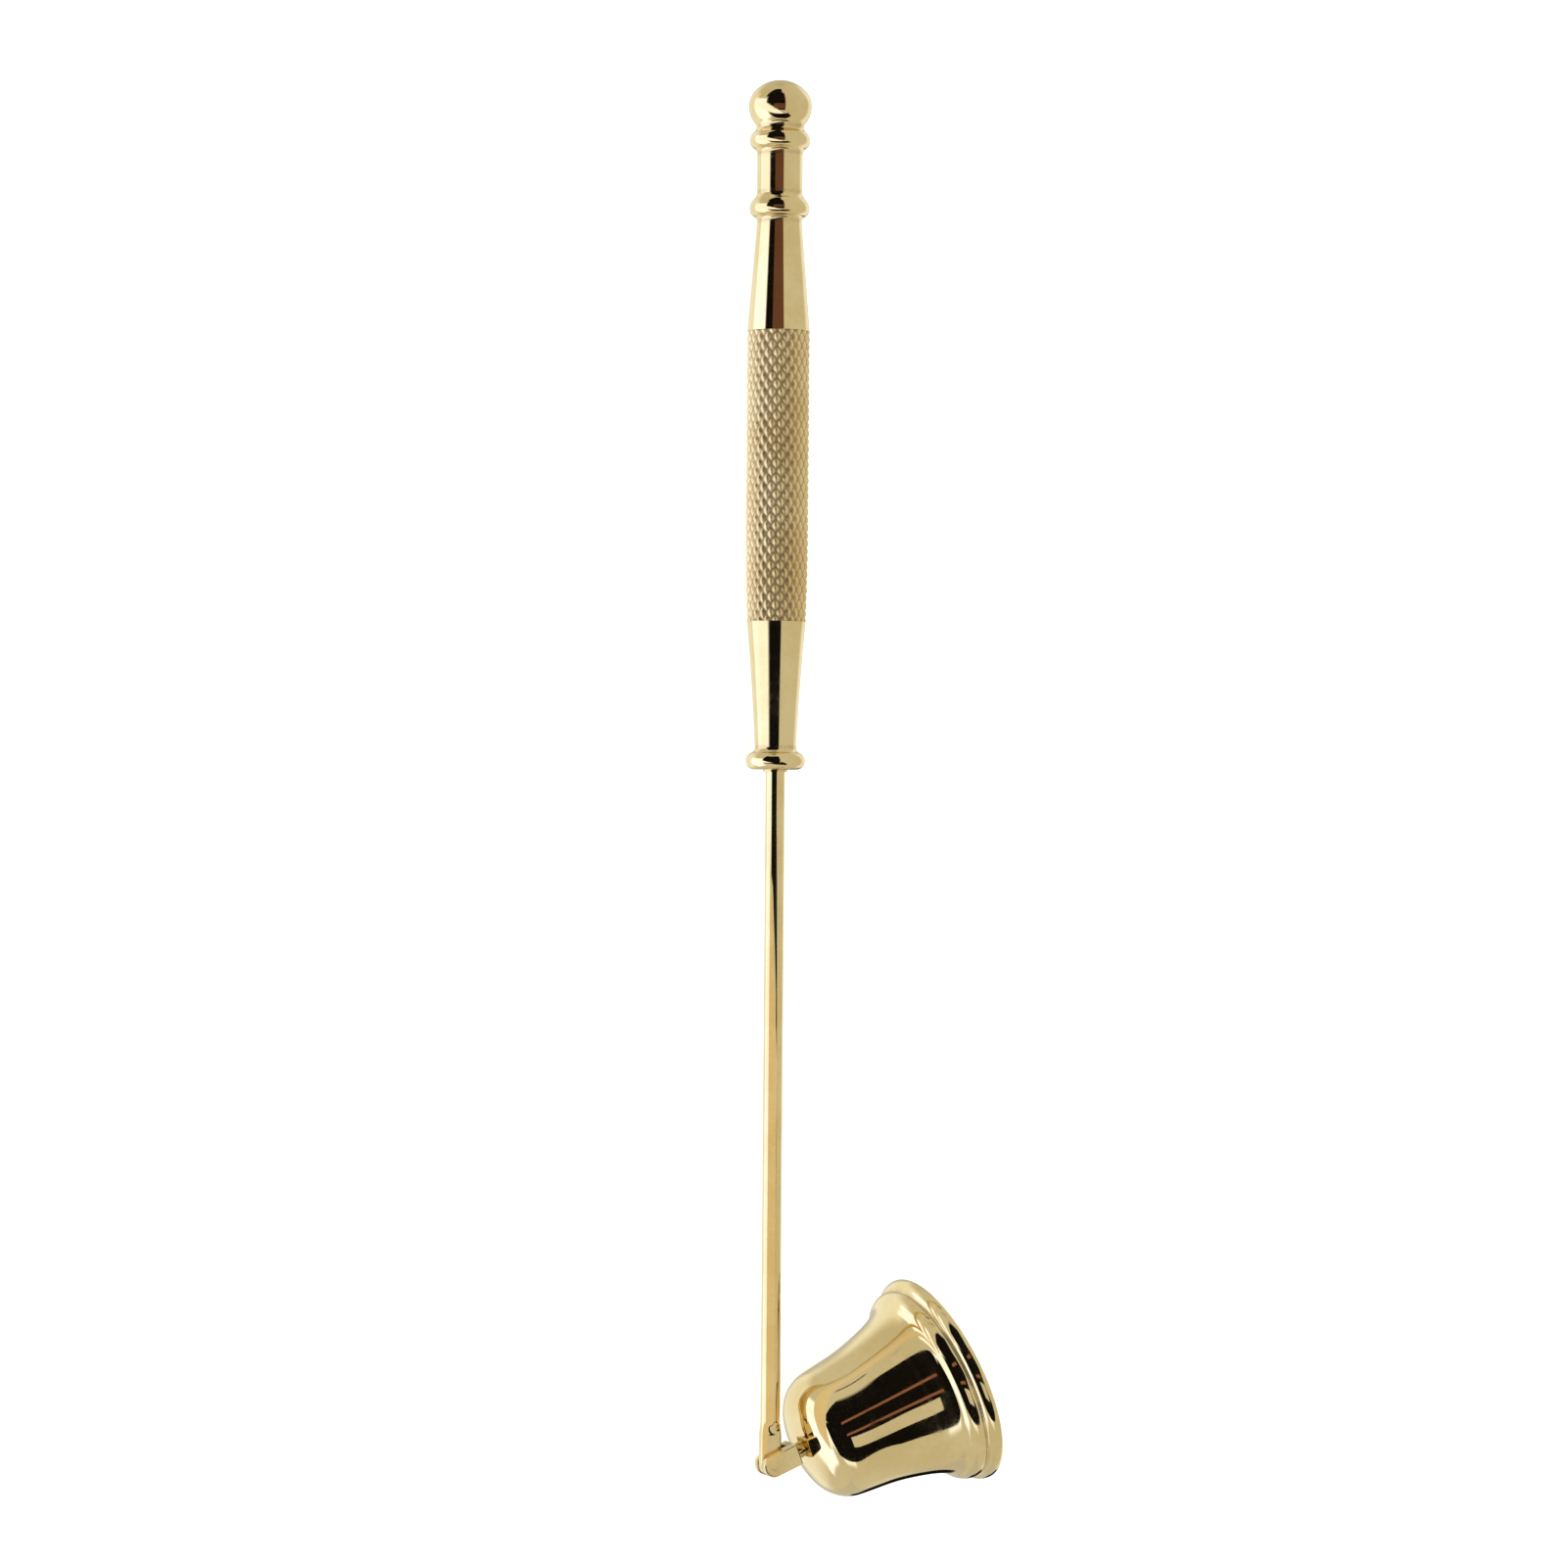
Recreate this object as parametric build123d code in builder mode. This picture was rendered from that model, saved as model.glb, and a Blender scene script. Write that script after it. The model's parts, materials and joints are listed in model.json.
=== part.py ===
from build123d import *
from math import acos, asin, atan2, cos, degrees, radians, sin, sqrt, tan
import os

# Candle snuffer with a knurled handle, a slim rod and a bell on a riveted hinge.
# It lies on a table at Z = 0 as it does in use: handle along +Y, mouth towards +X.
# The handle rests on its grip and its ball, and the bell rests on its shoulder.
# Lengths are in millimetres. Distances called "at" run along the handle from the pin.

# Hinge: the angle between the handle and the way the mouth points
rest_angle = 68.0

# Clearances
press_clearance = 0.01
running_clearance = 0.04
slot_clearance = 0.05
overrun = 1.0

# Handle, from the collar at its foot to the face that carries the ball
grip_radius = 5.0
grip_length = 46.2
grip_straight_length = 30.5
grip_foot_radius = 4.72
grip_edge_step = 0.07
rod_show_length = 110.35
boss_radius = 1.95
boss_height = 0.35
collar_radius = 4.7
collar_round = 1.3
collar_rise = 2.25
waist_radius = 3.28
lower_taper_length = 20.0
lower_taper_hollow = 0.12
upper_taper_length = 17.5
upper_waist_radius = 3.52
low_bead_radius = 4.74
low_bead_rise = 1.95
low_bead_fall = 2.65
neck_radius = 3.6
neck_length = 6.2
high_bead_radius = 4.78
high_bead_rise = 2.05
high_bead_fall = 2.2
bead_crest_share = 0.62

# Ball on top of the handle, with its stud
ball_radius = grip_radius
ball_seat_radius = 3.75
ball_below = 3.3
ball_above = 4.2
ball_crest_share = 0.8
ball_side_share = 0.85
stud_radius = 2.0
stud_length = 7.0
stud_chamfer = 0.3
hole_end_gap = 0.4

# Rod, round above and hammered flat where the hinge pin goes through
rod_radius = 1.55
rod_seat_depth = 25.0
rod_end_chamfer = 0.3
tang_width = 3.4
tang_thickness = 1.5
tang_flat_length = 4.6
tang_blend_length = 2.6
tang_edge_radius = 0.3

# Fork that straddles the rod, with its neck and stud
fork_height = 3.6
fork_depth = 4.3
fork_length = 4.7
fork_slot_length = 3.4
fork_edge_radius = 0.3
pin_radius = 0.75
pin_end_chamfer = 0.12
fork_neck_radius = 1.3
fork_neck_length = 0.9
fork_stud_radius = 1.0
fork_stud_free_end = 0.6
fork_stud_chamfer = 0.2

# Bell: its length runs from crown to mouth, the runs of lip, groove and ring back from the mouth
bell_length = 27.7
bell_wall = 1.0
crown_radius = 20.0
shoulder_radius = 6.0
barrel_radius = 10.65
barrel_slope = 9.0
lip_radius = 16.4
lip_round = 2.4
lip_slope = 58.0
groove_radius = 16.3
groove_run = 0.35
ring_radius = 17.5
ring_front = 1.85
ring_round = 0.7
mouth_radius = 15.6
mouth_edge = 0.2
land_radius = 3.4
flare_run_shares = [0.35, 0.7, 0.9]
flare_rise_shares = [0.155, 0.445, 0.715]
groove_crest_share = 0.5
ring_front_share = 0.1
inside_stations = 9

# Washer and nut inside the crown
washer_radius = 2.2
washer_thickness = 0.4
washer_split = 0.35
nut_flats = 4.0
nut_height = 1.6
nut_chamfer = 0.2

# Places along the handle
boss_top_at = rod_show_length + boss_height
collar_at = boss_top_at + collar_round
waist_at = collar_at + collar_rise
grip_foot_at = waist_at + lower_taper_length
grip_top_at = grip_foot_at + grip_length
upper_waist_at = grip_top_at + upper_taper_length
low_bead_at = upper_waist_at + low_bead_rise
neck_foot_at = low_bead_at + low_bead_fall
neck_top_at = neck_foot_at + neck_length
high_bead_at = neck_top_at + high_bead_rise
ball_seat_at = high_bead_at + high_bead_fall
ball_at = ball_seat_at + ball_below
tip_at = ball_at + ball_above

# Places along the bell's axis, from the pin
stud_hole_radius = fork_stud_radius + press_clearance
crown_dip = crown_radius - sqrt(crown_radius**2 - stud_hole_radius**2)
crown_at = fork_length + fork_neck_length - crown_dip
mouth_at = crown_at + bell_length

# The shoulder's round: its centre circle, from the crown and the barrel that it joins
barrel_turn = radians(barrel_slope)
shoulder_ring = barrel_radius - shoulder_radius * cos(barrel_turn)
crown_turn = asin(shoulder_ring / (crown_radius - shoulder_radius))
shoulder_depth = crown_radius - (crown_radius - shoulder_radius) * cos(crown_turn)
barrel_depth = shoulder_depth - shoulder_radius * sin(barrel_turn)

# How the bell lies: its shoulder touches the table that the grip lies on
shoulder_at = crown_at + shoulder_depth
shoulder_reach = sqrt(shoulder_at**2 + shoulder_ring**2)
mouth_rise = asin((shoulder_radius - grip_radius) / shoulder_reach) + atan2(shoulder_ring, shoulder_at)
mouth_swing = acos(cos(radians(rest_angle)) / cos(mouth_rise))
handle_direction = Vector(0, 1, 0)
mouth_direction = Vector(
    sin(mouth_swing) * cos(mouth_rise), cos(mouth_swing) * cos(mouth_rise), sin(mouth_rise)
)
hinge_normal = mouth_direction.cross(handle_direction).normalized()

# The origin is the middle of the whole outline, on the table, so the pin is set off from it
ring_at = mouth_at - ring_round
ring_circle = ring_radius - ring_round
reach_right = (
    ring_at * mouth_direction.X + ring_circle * sqrt(1 - mouth_direction.X**2) + ring_round
)
reach_back = (
    shoulder_ring * sqrt(1 - mouth_direction.Y**2) + shoulder_radius
    - shoulder_at * mouth_direction.Y
)
pin_point = Vector((grip_radius - reach_right) / 2, (reach_back - tip_at) / 2, grip_radius)

# Planes and axes. On a hinge plane local Y runs along the piece and Z along the pin.
hinge_side = mouth_direction.cross(-hinge_normal)
bell_plane = Plane(origin=pin_point, x_dir=hinge_side, z_dir=-hinge_normal)
tang_plane = Plane(origin=pin_point, x_dir=handle_direction.cross(-hinge_normal), z_dir=-hinge_normal)
turning_plane = Plane(origin=pin_point, x_dir=(1, 0, 0), z_dir=(0, 0, 1))
handle_axis = Axis(pin_point, handle_direction)
bell_axis = Axis(pin_point, mouth_direction)


def across_handle(distance):
    """Plane square to the handle, at a distance from the pin."""
    return Plane(
        origin=pin_point + handle_direction * distance, x_dir=tang_plane.x_dir, z_dir=handle_direction
    )


def across_bell(distance):
    """Plane square to the bell's axis, at a distance from the pin."""
    return Plane(
        origin=pin_point + mouth_direction * distance, x_dir=hinge_side, z_dir=mouth_direction
    )


def swell(start, end, first_share):
    """Two tangent arcs between two points, with both ends along the turning axis."""
    way = (0, 1) if end[1] > start[1] else (0, -1)
    middle = tuple(a + (b - a) * first_share for a, b in zip(start, end))
    first = TangentArc(start, middle, tangent=way)
    return TangentArc(middle, end, tangent=first % 1)


os.makedirs("parts", exist_ok=True)

# Handle: one turned bar, bored at its foot for the rod and at its top for the ball's stud
with BuildPart() as handle:
    with BuildSketch(turning_plane):
        with BuildLine():
            Polyline((0, rod_show_length), (boss_radius, rod_show_length), (boss_radius, boss_top_at))
            Line((boss_radius, boss_top_at), (collar_radius - collar_round, boss_top_at))
            TangentArc(
                (collar_radius - collar_round, boss_top_at), (collar_radius, collar_at), tangent=(1, 0)
            )
            swell((collar_radius, collar_at), (waist_radius, waist_at), bead_crest_share)
            taper_middle = (
                (waist_radius + grip_foot_radius - grip_edge_step) / 2 - lower_taper_hollow,
                (waist_at + grip_foot_at) / 2,
            )
            ThreePointArc(
                (waist_radius, waist_at), taper_middle, (grip_foot_radius - grip_edge_step, grip_foot_at)
            )
            Line((grip_foot_radius - grip_edge_step, grip_foot_at), (grip_foot_radius, grip_foot_at))
            straight_foot = (grip_radius, grip_top_at - grip_straight_length)
            TangentArc(
                straight_foot, (grip_foot_radius, grip_foot_at), tangent=(0, -1)
            )
            Line(straight_foot, (grip_radius, grip_top_at))
            Line((grip_radius, grip_top_at), (grip_radius - grip_edge_step, grip_top_at))
            Line((grip_radius - grip_edge_step, grip_top_at), (upper_waist_radius, upper_waist_at))
            swell((upper_waist_radius, upper_waist_at), (low_bead_radius, low_bead_at), 1 - bead_crest_share)
            swell((low_bead_radius, low_bead_at), (neck_radius, neck_foot_at), bead_crest_share)
            Line((neck_radius, neck_foot_at), (neck_radius, neck_top_at))
            swell((neck_radius, neck_top_at), (high_bead_radius, high_bead_at), 1 - bead_crest_share)
            swell((high_bead_radius, high_bead_at), (ball_seat_radius, ball_seat_at), bead_crest_share)
            Polyline((ball_seat_radius, ball_seat_at), (0, ball_seat_at), (0, rod_show_length))
        make_face()
    revolve(axis=handle_axis)
    rod_bore_depth = rod_seat_depth + hole_end_gap
    with Locations(across_handle(rod_show_length + rod_bore_depth)):
        Hole(radius=rod_radius + press_clearance, depth=rod_bore_depth)
    with Locations(across_handle(ball_seat_at)):
        Hole(radius=stud_radius + press_clearance, depth=stud_length + hole_end_gap)

# Ball: a flattened ball on a short neck, with the stud that screws into the handle.
# A tight round makes its side and a wide one its top, and they join without a corner.
ball_side_round = ball_above * ball_side_share
ball_ring = ball_radius - ball_side_round
ball_top_radius = (ball_ring**2 + ball_above**2 - ball_side_round**2) / (
    2 * (ball_above - ball_side_round)
)
ball_turn = asin(ball_ring / (ball_top_radius - ball_side_round))
ball_join = (
    ball_top_radius * sin(ball_turn),
    tip_at - ball_top_radius * (1 - cos(ball_turn)),
)
with BuildPart() as finial_ball:
    with BuildSketch(turning_plane):
        with BuildLine():
            stud_foot_at = ball_seat_at - stud_length
            Polyline(
                (0, tip_at),
                (0, stud_foot_at),
                (stud_radius - stud_chamfer, stud_foot_at),
                (stud_radius, stud_foot_at + stud_chamfer),
                (stud_radius, ball_seat_at),
                (ball_seat_radius, ball_seat_at),
            )
            swell((ball_seat_radius, ball_seat_at), (ball_radius, ball_at), 1 - ball_crest_share)
            TangentArc((ball_radius, ball_at), ball_join, tangent=(0, 1))
            TangentArc((0, tip_at), ball_join, tangent=(1, 0))
        make_face()
    revolve(axis=handle_axis)

# Rod: round bar whose lower end is flattened into a drilled tang
blend_foot_at = tang_flat_length
blend_top_at = tang_flat_length + tang_blend_length
with BuildPart() as rod:
    with BuildSketch(tang_plane):
        Circle(tang_width / 2)
        with Locations((0, blend_foot_at / 2)):
            Rectangle(tang_width, blend_foot_at)
    extrude(amount=tang_thickness / 2, both=True)
    fillet(rod.edges().filter_by(handle_axis), tang_edge_radius)
    with BuildSketch(across_handle(blend_foot_at)):
        RectangleRounded(tang_width, tang_thickness, tang_edge_radius)
    with BuildSketch(across_handle(blend_top_at)):
        Circle(rod_radius)
    loft()
    with BuildSketch(across_handle(blend_top_at)):
        Circle(rod_radius)
    extrude(amount=rod_show_length + rod_seat_depth - blend_top_at)
    chamfer(rod.faces().sort_by(handle_axis)[-1].edges(), rod_end_chamfer)
    with BuildSketch(tang_plane):
        Circle(pin_radius + running_clearance)
    extrude(amount=tang_thickness / 2 + overrun, both=True, mode=Mode.SUBTRACT)

# Fork: two cheeks, a round neck that bears on the crown, and the stud through it
land_depth = crown_radius - sqrt((crown_radius - bell_wall) ** 2 - land_radius**2)
stud_end_at = crown_at + land_depth + washer_thickness + nut_height + fork_stud_free_end
neck_end_at = fork_length + fork_neck_length
with BuildPart() as hinge_fork:
    with BuildSketch(bell_plane):
        Circle(fork_height / 2)
        with Locations((0, fork_length / 2)):
            Rectangle(fork_height, fork_length)
    extrude(amount=fork_depth / 2, both=True)
    fillet(hinge_fork.edges().filter_by(bell_axis), fork_edge_radius)
    with BuildSketch(bell_plane):
        with Locations((0, (fork_slot_length - fork_height / 2 - overrun) / 2)):
            Rectangle(fork_height + 2 * overrun, fork_slot_length + fork_height / 2 + overrun)
    extrude(amount=tang_thickness / 2 + slot_clearance, both=True, mode=Mode.SUBTRACT)
    with BuildSketch(bell_plane):
        Circle(pin_radius + press_clearance)
    extrude(amount=fork_depth / 2 + overrun, both=True, mode=Mode.SUBTRACT)
    with BuildSketch(across_bell(fork_length)):
        Circle(fork_neck_radius)
    extrude(amount=fork_neck_length)
    with BuildSketch(across_bell(neck_end_at)):
        Circle(fork_stud_radius)
    extrude(amount=stud_end_at - neck_end_at)
    chamfer(hinge_fork.faces().sort_by(bell_axis)[-1].edges(), fork_stud_chamfer)

# Hinge pin: a plain rivet, flush with both cheeks
with BuildPart() as hinge_pin:
    with BuildSketch(bell_plane):
        Circle(pin_radius)
    extrude(amount=fork_depth / 2, both=True)
    chamfer(hinge_pin.edges(), pin_end_chamfer)

# Bell: an even wall from the crown to the lip, then a groove and a round ring at the mouth
crown_edge = (crown_radius * sin(crown_turn), crown_at + crown_radius * (1 - cos(crown_turn)))
shoulder_middle_turn = (crown_turn + radians(90) - barrel_turn) / 2
flare_start = (barrel_radius, crown_at + barrel_depth)
ring_crest = (ring_radius, ring_at)
groove_floor = (groove_radius, ring_at - ring_front)
lip_crest = (lip_radius, groove_floor[1] - groove_run)
lip_turn = radians(lip_slope)
lip_start = (
    lip_radius - lip_round * (1 - cos(lip_turn)),
    lip_crest[1] - lip_round * sin(lip_turn),
)
flare_rise = lip_start[0] - barrel_radius
flare_run = lip_start[1] - flare_start[1]
flare_middles = [
    (barrel_radius + flare_rise * rise, flare_start[1] + flare_run * run)
    for rise, run in zip(flare_rise_shares, flare_run_shares)
]


def shoulder_point(radius, turn):
    """Point on a round about the shoulder's centre, turned from the bell's axis."""
    return (shoulder_ring + radius * sin(turn), shoulder_at - radius * cos(turn))


with BuildPart() as bell:
    with BuildSketch(bell_plane):
        with BuildLine():
            crown_middle_turn = (crown_turn + asin(stud_hole_radius / crown_radius)) / 2
            ThreePointArc(
                (stud_hole_radius, crown_at + crown_dip),
                (
                    crown_radius * sin(crown_middle_turn),
                    crown_at + crown_radius * (1 - cos(crown_middle_turn)),
                ),
                crown_edge,
            )
            ThreePointArc(
                crown_edge, shoulder_point(shoulder_radius, shoulder_middle_turn), flare_start
            )
            flare = Spline(
                flare_start,
                *flare_middles,
                lip_start,
                tangents=[(sin(barrel_turn), cos(barrel_turn)), (sin(lip_turn), cos(lip_turn))],
            )
            TangentArc(lip_start, lip_crest, tangent=(sin(lip_turn), cos(lip_turn)))
            swell(lip_crest, groove_floor, groove_crest_share)
            swell(groove_floor, ring_crest, ring_front_share)
            TangentArc(ring_crest, (ring_circle, mouth_at), tangent=(0, 1))
            Polyline(
                (ring_circle, mouth_at),
                (mouth_radius + mouth_edge, mouth_at),
                (mouth_radius, mouth_at - mouth_edge),
            )
            inside = []
            for station in range(inside_stations):
                share = station / (inside_stations - 1)
                outer_point = flare.position_at(share)
                outer_way = flare.tangent_at(share)
                inside.append(
                    (outer_point.X - bell_wall * outer_way.Y, outer_point.Y + bell_wall * outer_way.X)
                )
            bore_foot = (
                mouth_radius, inside[-1][1] + (mouth_radius - inside[-1][0]) / tan(lip_turn)
            )
            Line((mouth_radius, mouth_at - mouth_edge), bore_foot)
            Line(bore_foot, inside[-1])
            Spline(*inside)
            inner_shoulder = shoulder_radius - bell_wall
            inner_crown_edge = shoulder_point(inner_shoulder, crown_turn)
            ThreePointArc(
                inside[0], shoulder_point(inner_shoulder, shoulder_middle_turn), inner_crown_edge
            )
            land_edge = (land_radius, crown_at + land_depth)
            inner_crown = crown_radius - bell_wall
            land_turn = (crown_turn + asin(land_radius / inner_crown)) / 2
            ThreePointArc(
                inner_crown_edge,
                (
                    inner_crown * sin(land_turn),
                    crown_at + crown_radius - inner_crown * cos(land_turn),
                ),
                land_edge,
            )
            Polyline(
                land_edge,
                (stud_hole_radius, crown_at + land_depth),
                (stud_hole_radius, crown_at + crown_dip),
            )
        make_face()
    revolve(axis=bell_axis)

# Spring washer, split on one side, on the flat land inside the crown
washer_at = crown_at + land_depth
with BuildPart() as spring_washer:
    with BuildSketch(across_bell(washer_at)):
        Circle(washer_radius)
        Circle(fork_stud_radius + slot_clearance, mode=Mode.SUBTRACT)
        with Locations((washer_radius / 2, 0)):
            Rectangle(washer_radius + overrun, washer_split, mode=Mode.SUBTRACT)
    extrude(amount=washer_thickness)

# Nut that holds the fork in the bell
nut_at = washer_at + washer_thickness
with BuildPart() as crown_nut:
    with BuildSketch(across_bell(nut_at)):
        RegularPolygon(radius=nut_flats / 2, side_count=6, major_radius=False)
        Circle(fork_stud_radius + press_clearance, mode=Mode.SUBTRACT)
    extrude(amount=nut_height)
    nut_rim = crown_nut.edges().filter_by(GeomType.LINE).sort_by(bell_axis)[-6:]
    chamfer(nut_rim, nut_chamfer)

pieces = {
    "handle": handle,
    "finial_ball": finial_ball,
    "rod": rod,
    "hinge_fork": hinge_fork,
    "hinge_pin": hinge_pin,
    "bell": bell,
    "spring_washer": spring_washer,
    "crown_nut": crown_nut,
}
for name, piece in pieces.items():
    piece.part.label = name
    export_step(piece.part, f"parts/{name}.step")

stop_gap = running_clearance
closed_angle = atan2(shoulder_ring, shoulder_at) + asin(
    (shoulder_radius + rod_radius + stop_gap) / shoulder_reach
)
print("mouth rises", round(degrees(mouth_rise), 3), "degrees above the table")
print("bell closes on the rod at", round(degrees(closed_angle), 3), "degrees from the handle")
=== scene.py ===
import json
import logging
import math
from collections.abc import Sequence
from dataclasses import dataclass
from enum import Enum

import bmesh
import bpy
import numpy as np
from mathutils import Matrix, Vector

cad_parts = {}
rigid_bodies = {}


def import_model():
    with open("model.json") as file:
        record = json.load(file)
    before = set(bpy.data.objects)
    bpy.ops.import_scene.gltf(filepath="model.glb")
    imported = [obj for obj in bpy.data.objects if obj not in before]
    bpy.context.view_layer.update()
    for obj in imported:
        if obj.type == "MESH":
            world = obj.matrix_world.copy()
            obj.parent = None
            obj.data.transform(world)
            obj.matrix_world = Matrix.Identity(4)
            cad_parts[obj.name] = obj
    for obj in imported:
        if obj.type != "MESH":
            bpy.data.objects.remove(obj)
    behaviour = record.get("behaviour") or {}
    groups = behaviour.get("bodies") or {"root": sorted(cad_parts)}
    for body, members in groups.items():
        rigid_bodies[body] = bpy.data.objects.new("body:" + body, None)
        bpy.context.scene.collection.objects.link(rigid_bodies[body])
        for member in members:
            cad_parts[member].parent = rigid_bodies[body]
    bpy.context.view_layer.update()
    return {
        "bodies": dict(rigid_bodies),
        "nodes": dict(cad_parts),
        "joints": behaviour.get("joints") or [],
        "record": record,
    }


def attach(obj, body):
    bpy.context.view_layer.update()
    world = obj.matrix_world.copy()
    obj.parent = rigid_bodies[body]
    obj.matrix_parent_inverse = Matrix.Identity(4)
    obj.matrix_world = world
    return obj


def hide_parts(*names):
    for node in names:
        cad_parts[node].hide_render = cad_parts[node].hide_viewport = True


# Looks of a candle snuffer: a knurled handle, a slim rod and a bell on a riveted hinge,
# all in polished pale gold plate. Lengths are in metres, in the frame of the CAD model.

LOG = logging.getLogger("snuffer")
MM = 0.001
MERGE_DISTANCE = 0.002 * MM
CORNER_ANGLE = math.radians(32)
CREST = "crest"

Point = tuple[float, float]
Colour = tuple[float, float, float]
Socket = bpy.types.NodeSocket


class Body(Enum):
    """The bodies that the snuffer's pieces move with."""

    BELL_HEAD = "bell_head"
    HANDLE_AND_ROD = "handle_and_rod"


class Slot(Enum):
    """The material slots of the record."""

    HANDLE = "gold_plate_handle"
    ROD = "gold_plate_rod"
    FORK = "gold_plate_fork"
    BELL = "gold_plate_bell"
    FASTENER = "steel_fastener"
    NUT = "brass_nut"


@dataclass(frozen=True)
class Turning:
    """The axis that a turned piece is made about, with a side to count angles from."""

    origin: Vector
    axis: Vector
    side: Vector

    def matrix(self) -> Matrix:
        """Matrix whose X is the side, whose Z is the axis and whose place is the origin."""
        across = self.axis.cross(self.side)
        turned = Matrix((self.side, across, self.axis)).transposed().to_4x4()
        turned.translation = self.origin
        return turned


class Outline:
    """Half section of a turned piece: runs of points (radius, place), metal on the left."""

    def __init__(self, radius: float, at: float) -> None:
        """Start the outline at a point."""
        self.end: Point = (radius, at)
        self.lining: int | None = None
        self.runs: list[tuple[np.ndarray, np.ndarray]] = []

    def _add(self, points: np.ndarray, ways: np.ndarray) -> None:
        """Add a run of points with the way that the outline goes at each of them."""
        self.runs.append((points, ways / np.linalg.norm(ways, axis=1)[:, None]))
        self.end = (float(points[-1][0]), float(points[-1][1]))

    def line(self, radius: float, at: float) -> "Outline":
        """Add a straight run to a point.

        Args:
            radius: Radius of the piece at the end of the run.
            at: Place of the end along the axis.

        Returns:
            The outline itself.
        """
        points = np.array([self.end, (radius, at)])
        self._add(points, np.repeat(points[1:] - points[:1], 2, axis=0))
        return self

    def arc(self, radius: float, at: float, way: Point, steps: int = 20) -> "Outline":
        """Add a round run that leaves along a way and ends at a point.

        Args:
            radius: Radius of the piece at the end of the run.
            at: Place of the end along the axis.
            way: Direction in which the run leaves.
            steps: Number of short runs that make the round.

        Returns:
            The outline itself.
        """
        start, end = np.array(self.end), np.array((radius, at))
        leave = np.array(way) / np.linalg.norm(way)
        normal = np.array((-leave[1], leave[0]))
        chord = end - start
        reach = chord @ chord / (2 * (chord @ normal))
        centre = start + normal * reach
        turn = 2 * math.atan2(chord @ normal, chord @ leave)
        angles = np.linspace(0, turn, steps + 1)
        spin = np.array([[np.cos(angles), -np.sin(angles)], [np.sin(angles), np.cos(angles)]])
        points = centre + np.einsum("ijk,j->ki", spin, start - centre)
        self._add(points, np.einsum("ijk,j->ki", spin, leave))
        return self

    def swell(self, radius: float, at: float, share: float, steps: int = 20) -> "Outline":
        """Add two tangent rounds to a point, with both ends along the axis.

        Args:
            radius: Radius of the piece at the end of the run.
            at: Place of the end along the axis.
            share: Where the two rounds meet, as a share of the way.
            steps: Number of short runs in each round.

        Returns:
            The outline itself.
        """
        start, end = np.array(self.end), np.array((radius, at))
        way = (0.0, math.copysign(1.0, at - start[1]))
        middle = start + (end - start) * share
        self.arc(middle[0], middle[1], way, steps)
        last = self.runs[-1][1][-1]
        return self.arc(radius, at, (float(last[0]), float(last[1])), steps)

    def spline(self, points: Sequence[Point], leave: Point, arrive: Point, steps: int) -> "Outline":
        """Add an even curve through points, with given ways at its two ends.

        Args:
            points: Points that the curve passes through after the outline's end.
            leave: Direction at the start.
            arrive: Direction at the end.
            steps: Number of short runs in each span.

        Returns:
            The outline itself.
        """
        knots = np.array([self.end, *points])
        spans = np.linalg.norm(np.diff(knots, axis=0), axis=1)
        count = len(knots)
        table, sums = np.eye(count), np.zeros((count, 2))
        sums[0] = np.array(leave) / np.linalg.norm(leave)
        sums[-1] = np.array(arrive) / np.linalg.norm(arrive)
        for row in range(1, count - 1):
            before, after = spans[row - 1], spans[row]
            table[row, row - 1 : row + 2] = (1 / before, 2 / before + 2 / after, 1 / after)
            sums[row] = 3 * (
                (knots[row] - knots[row - 1]) / before**2 + (knots[row + 1] - knots[row]) / after**2
            )
        slopes = np.linalg.solve(table, sums)
        shares = np.linspace(0, 1, steps + 1)[:, None]
        for row, span in enumerate(spans):
            near, far = knots[row], knots[row + 1]
            rise = 3 * (far - near) - span * (2 * slopes[row] + slopes[row + 1])
            turn = 2 * (near - far) + span * (slopes[row] + slopes[row + 1])
            curve = near + shares * (span * slopes[row] + shares * (rise + shares * turn))
            ways = span * slopes[row] + shares * (2 * rise + 3 * shares * turn)
            self._add(curve, ways)
        return self

    def back_inside(self, first: int, last: int, wall: float) -> "Outline":
        """Go back along some runs on the metal side, an even wall away from them.

        Args:
            first: Number of the first of those runs.
            last: Number after the last of them.
            wall: How far inside the way back lies.

        Returns:
            The outline itself.
        """
        points = np.concatenate([run[0] for run in self.runs[first:last]])
        ways = np.concatenate([run[1] for run in self.runs[first:last]])
        inside = (points + wall * np.stack([-ways[:, 1], ways[:, 0]], axis=1))[::-1]
        self.line(float(inside[0][0]), float(inside[0][1]))
        self._add(inside, -ways[::-1])
        return self


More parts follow.
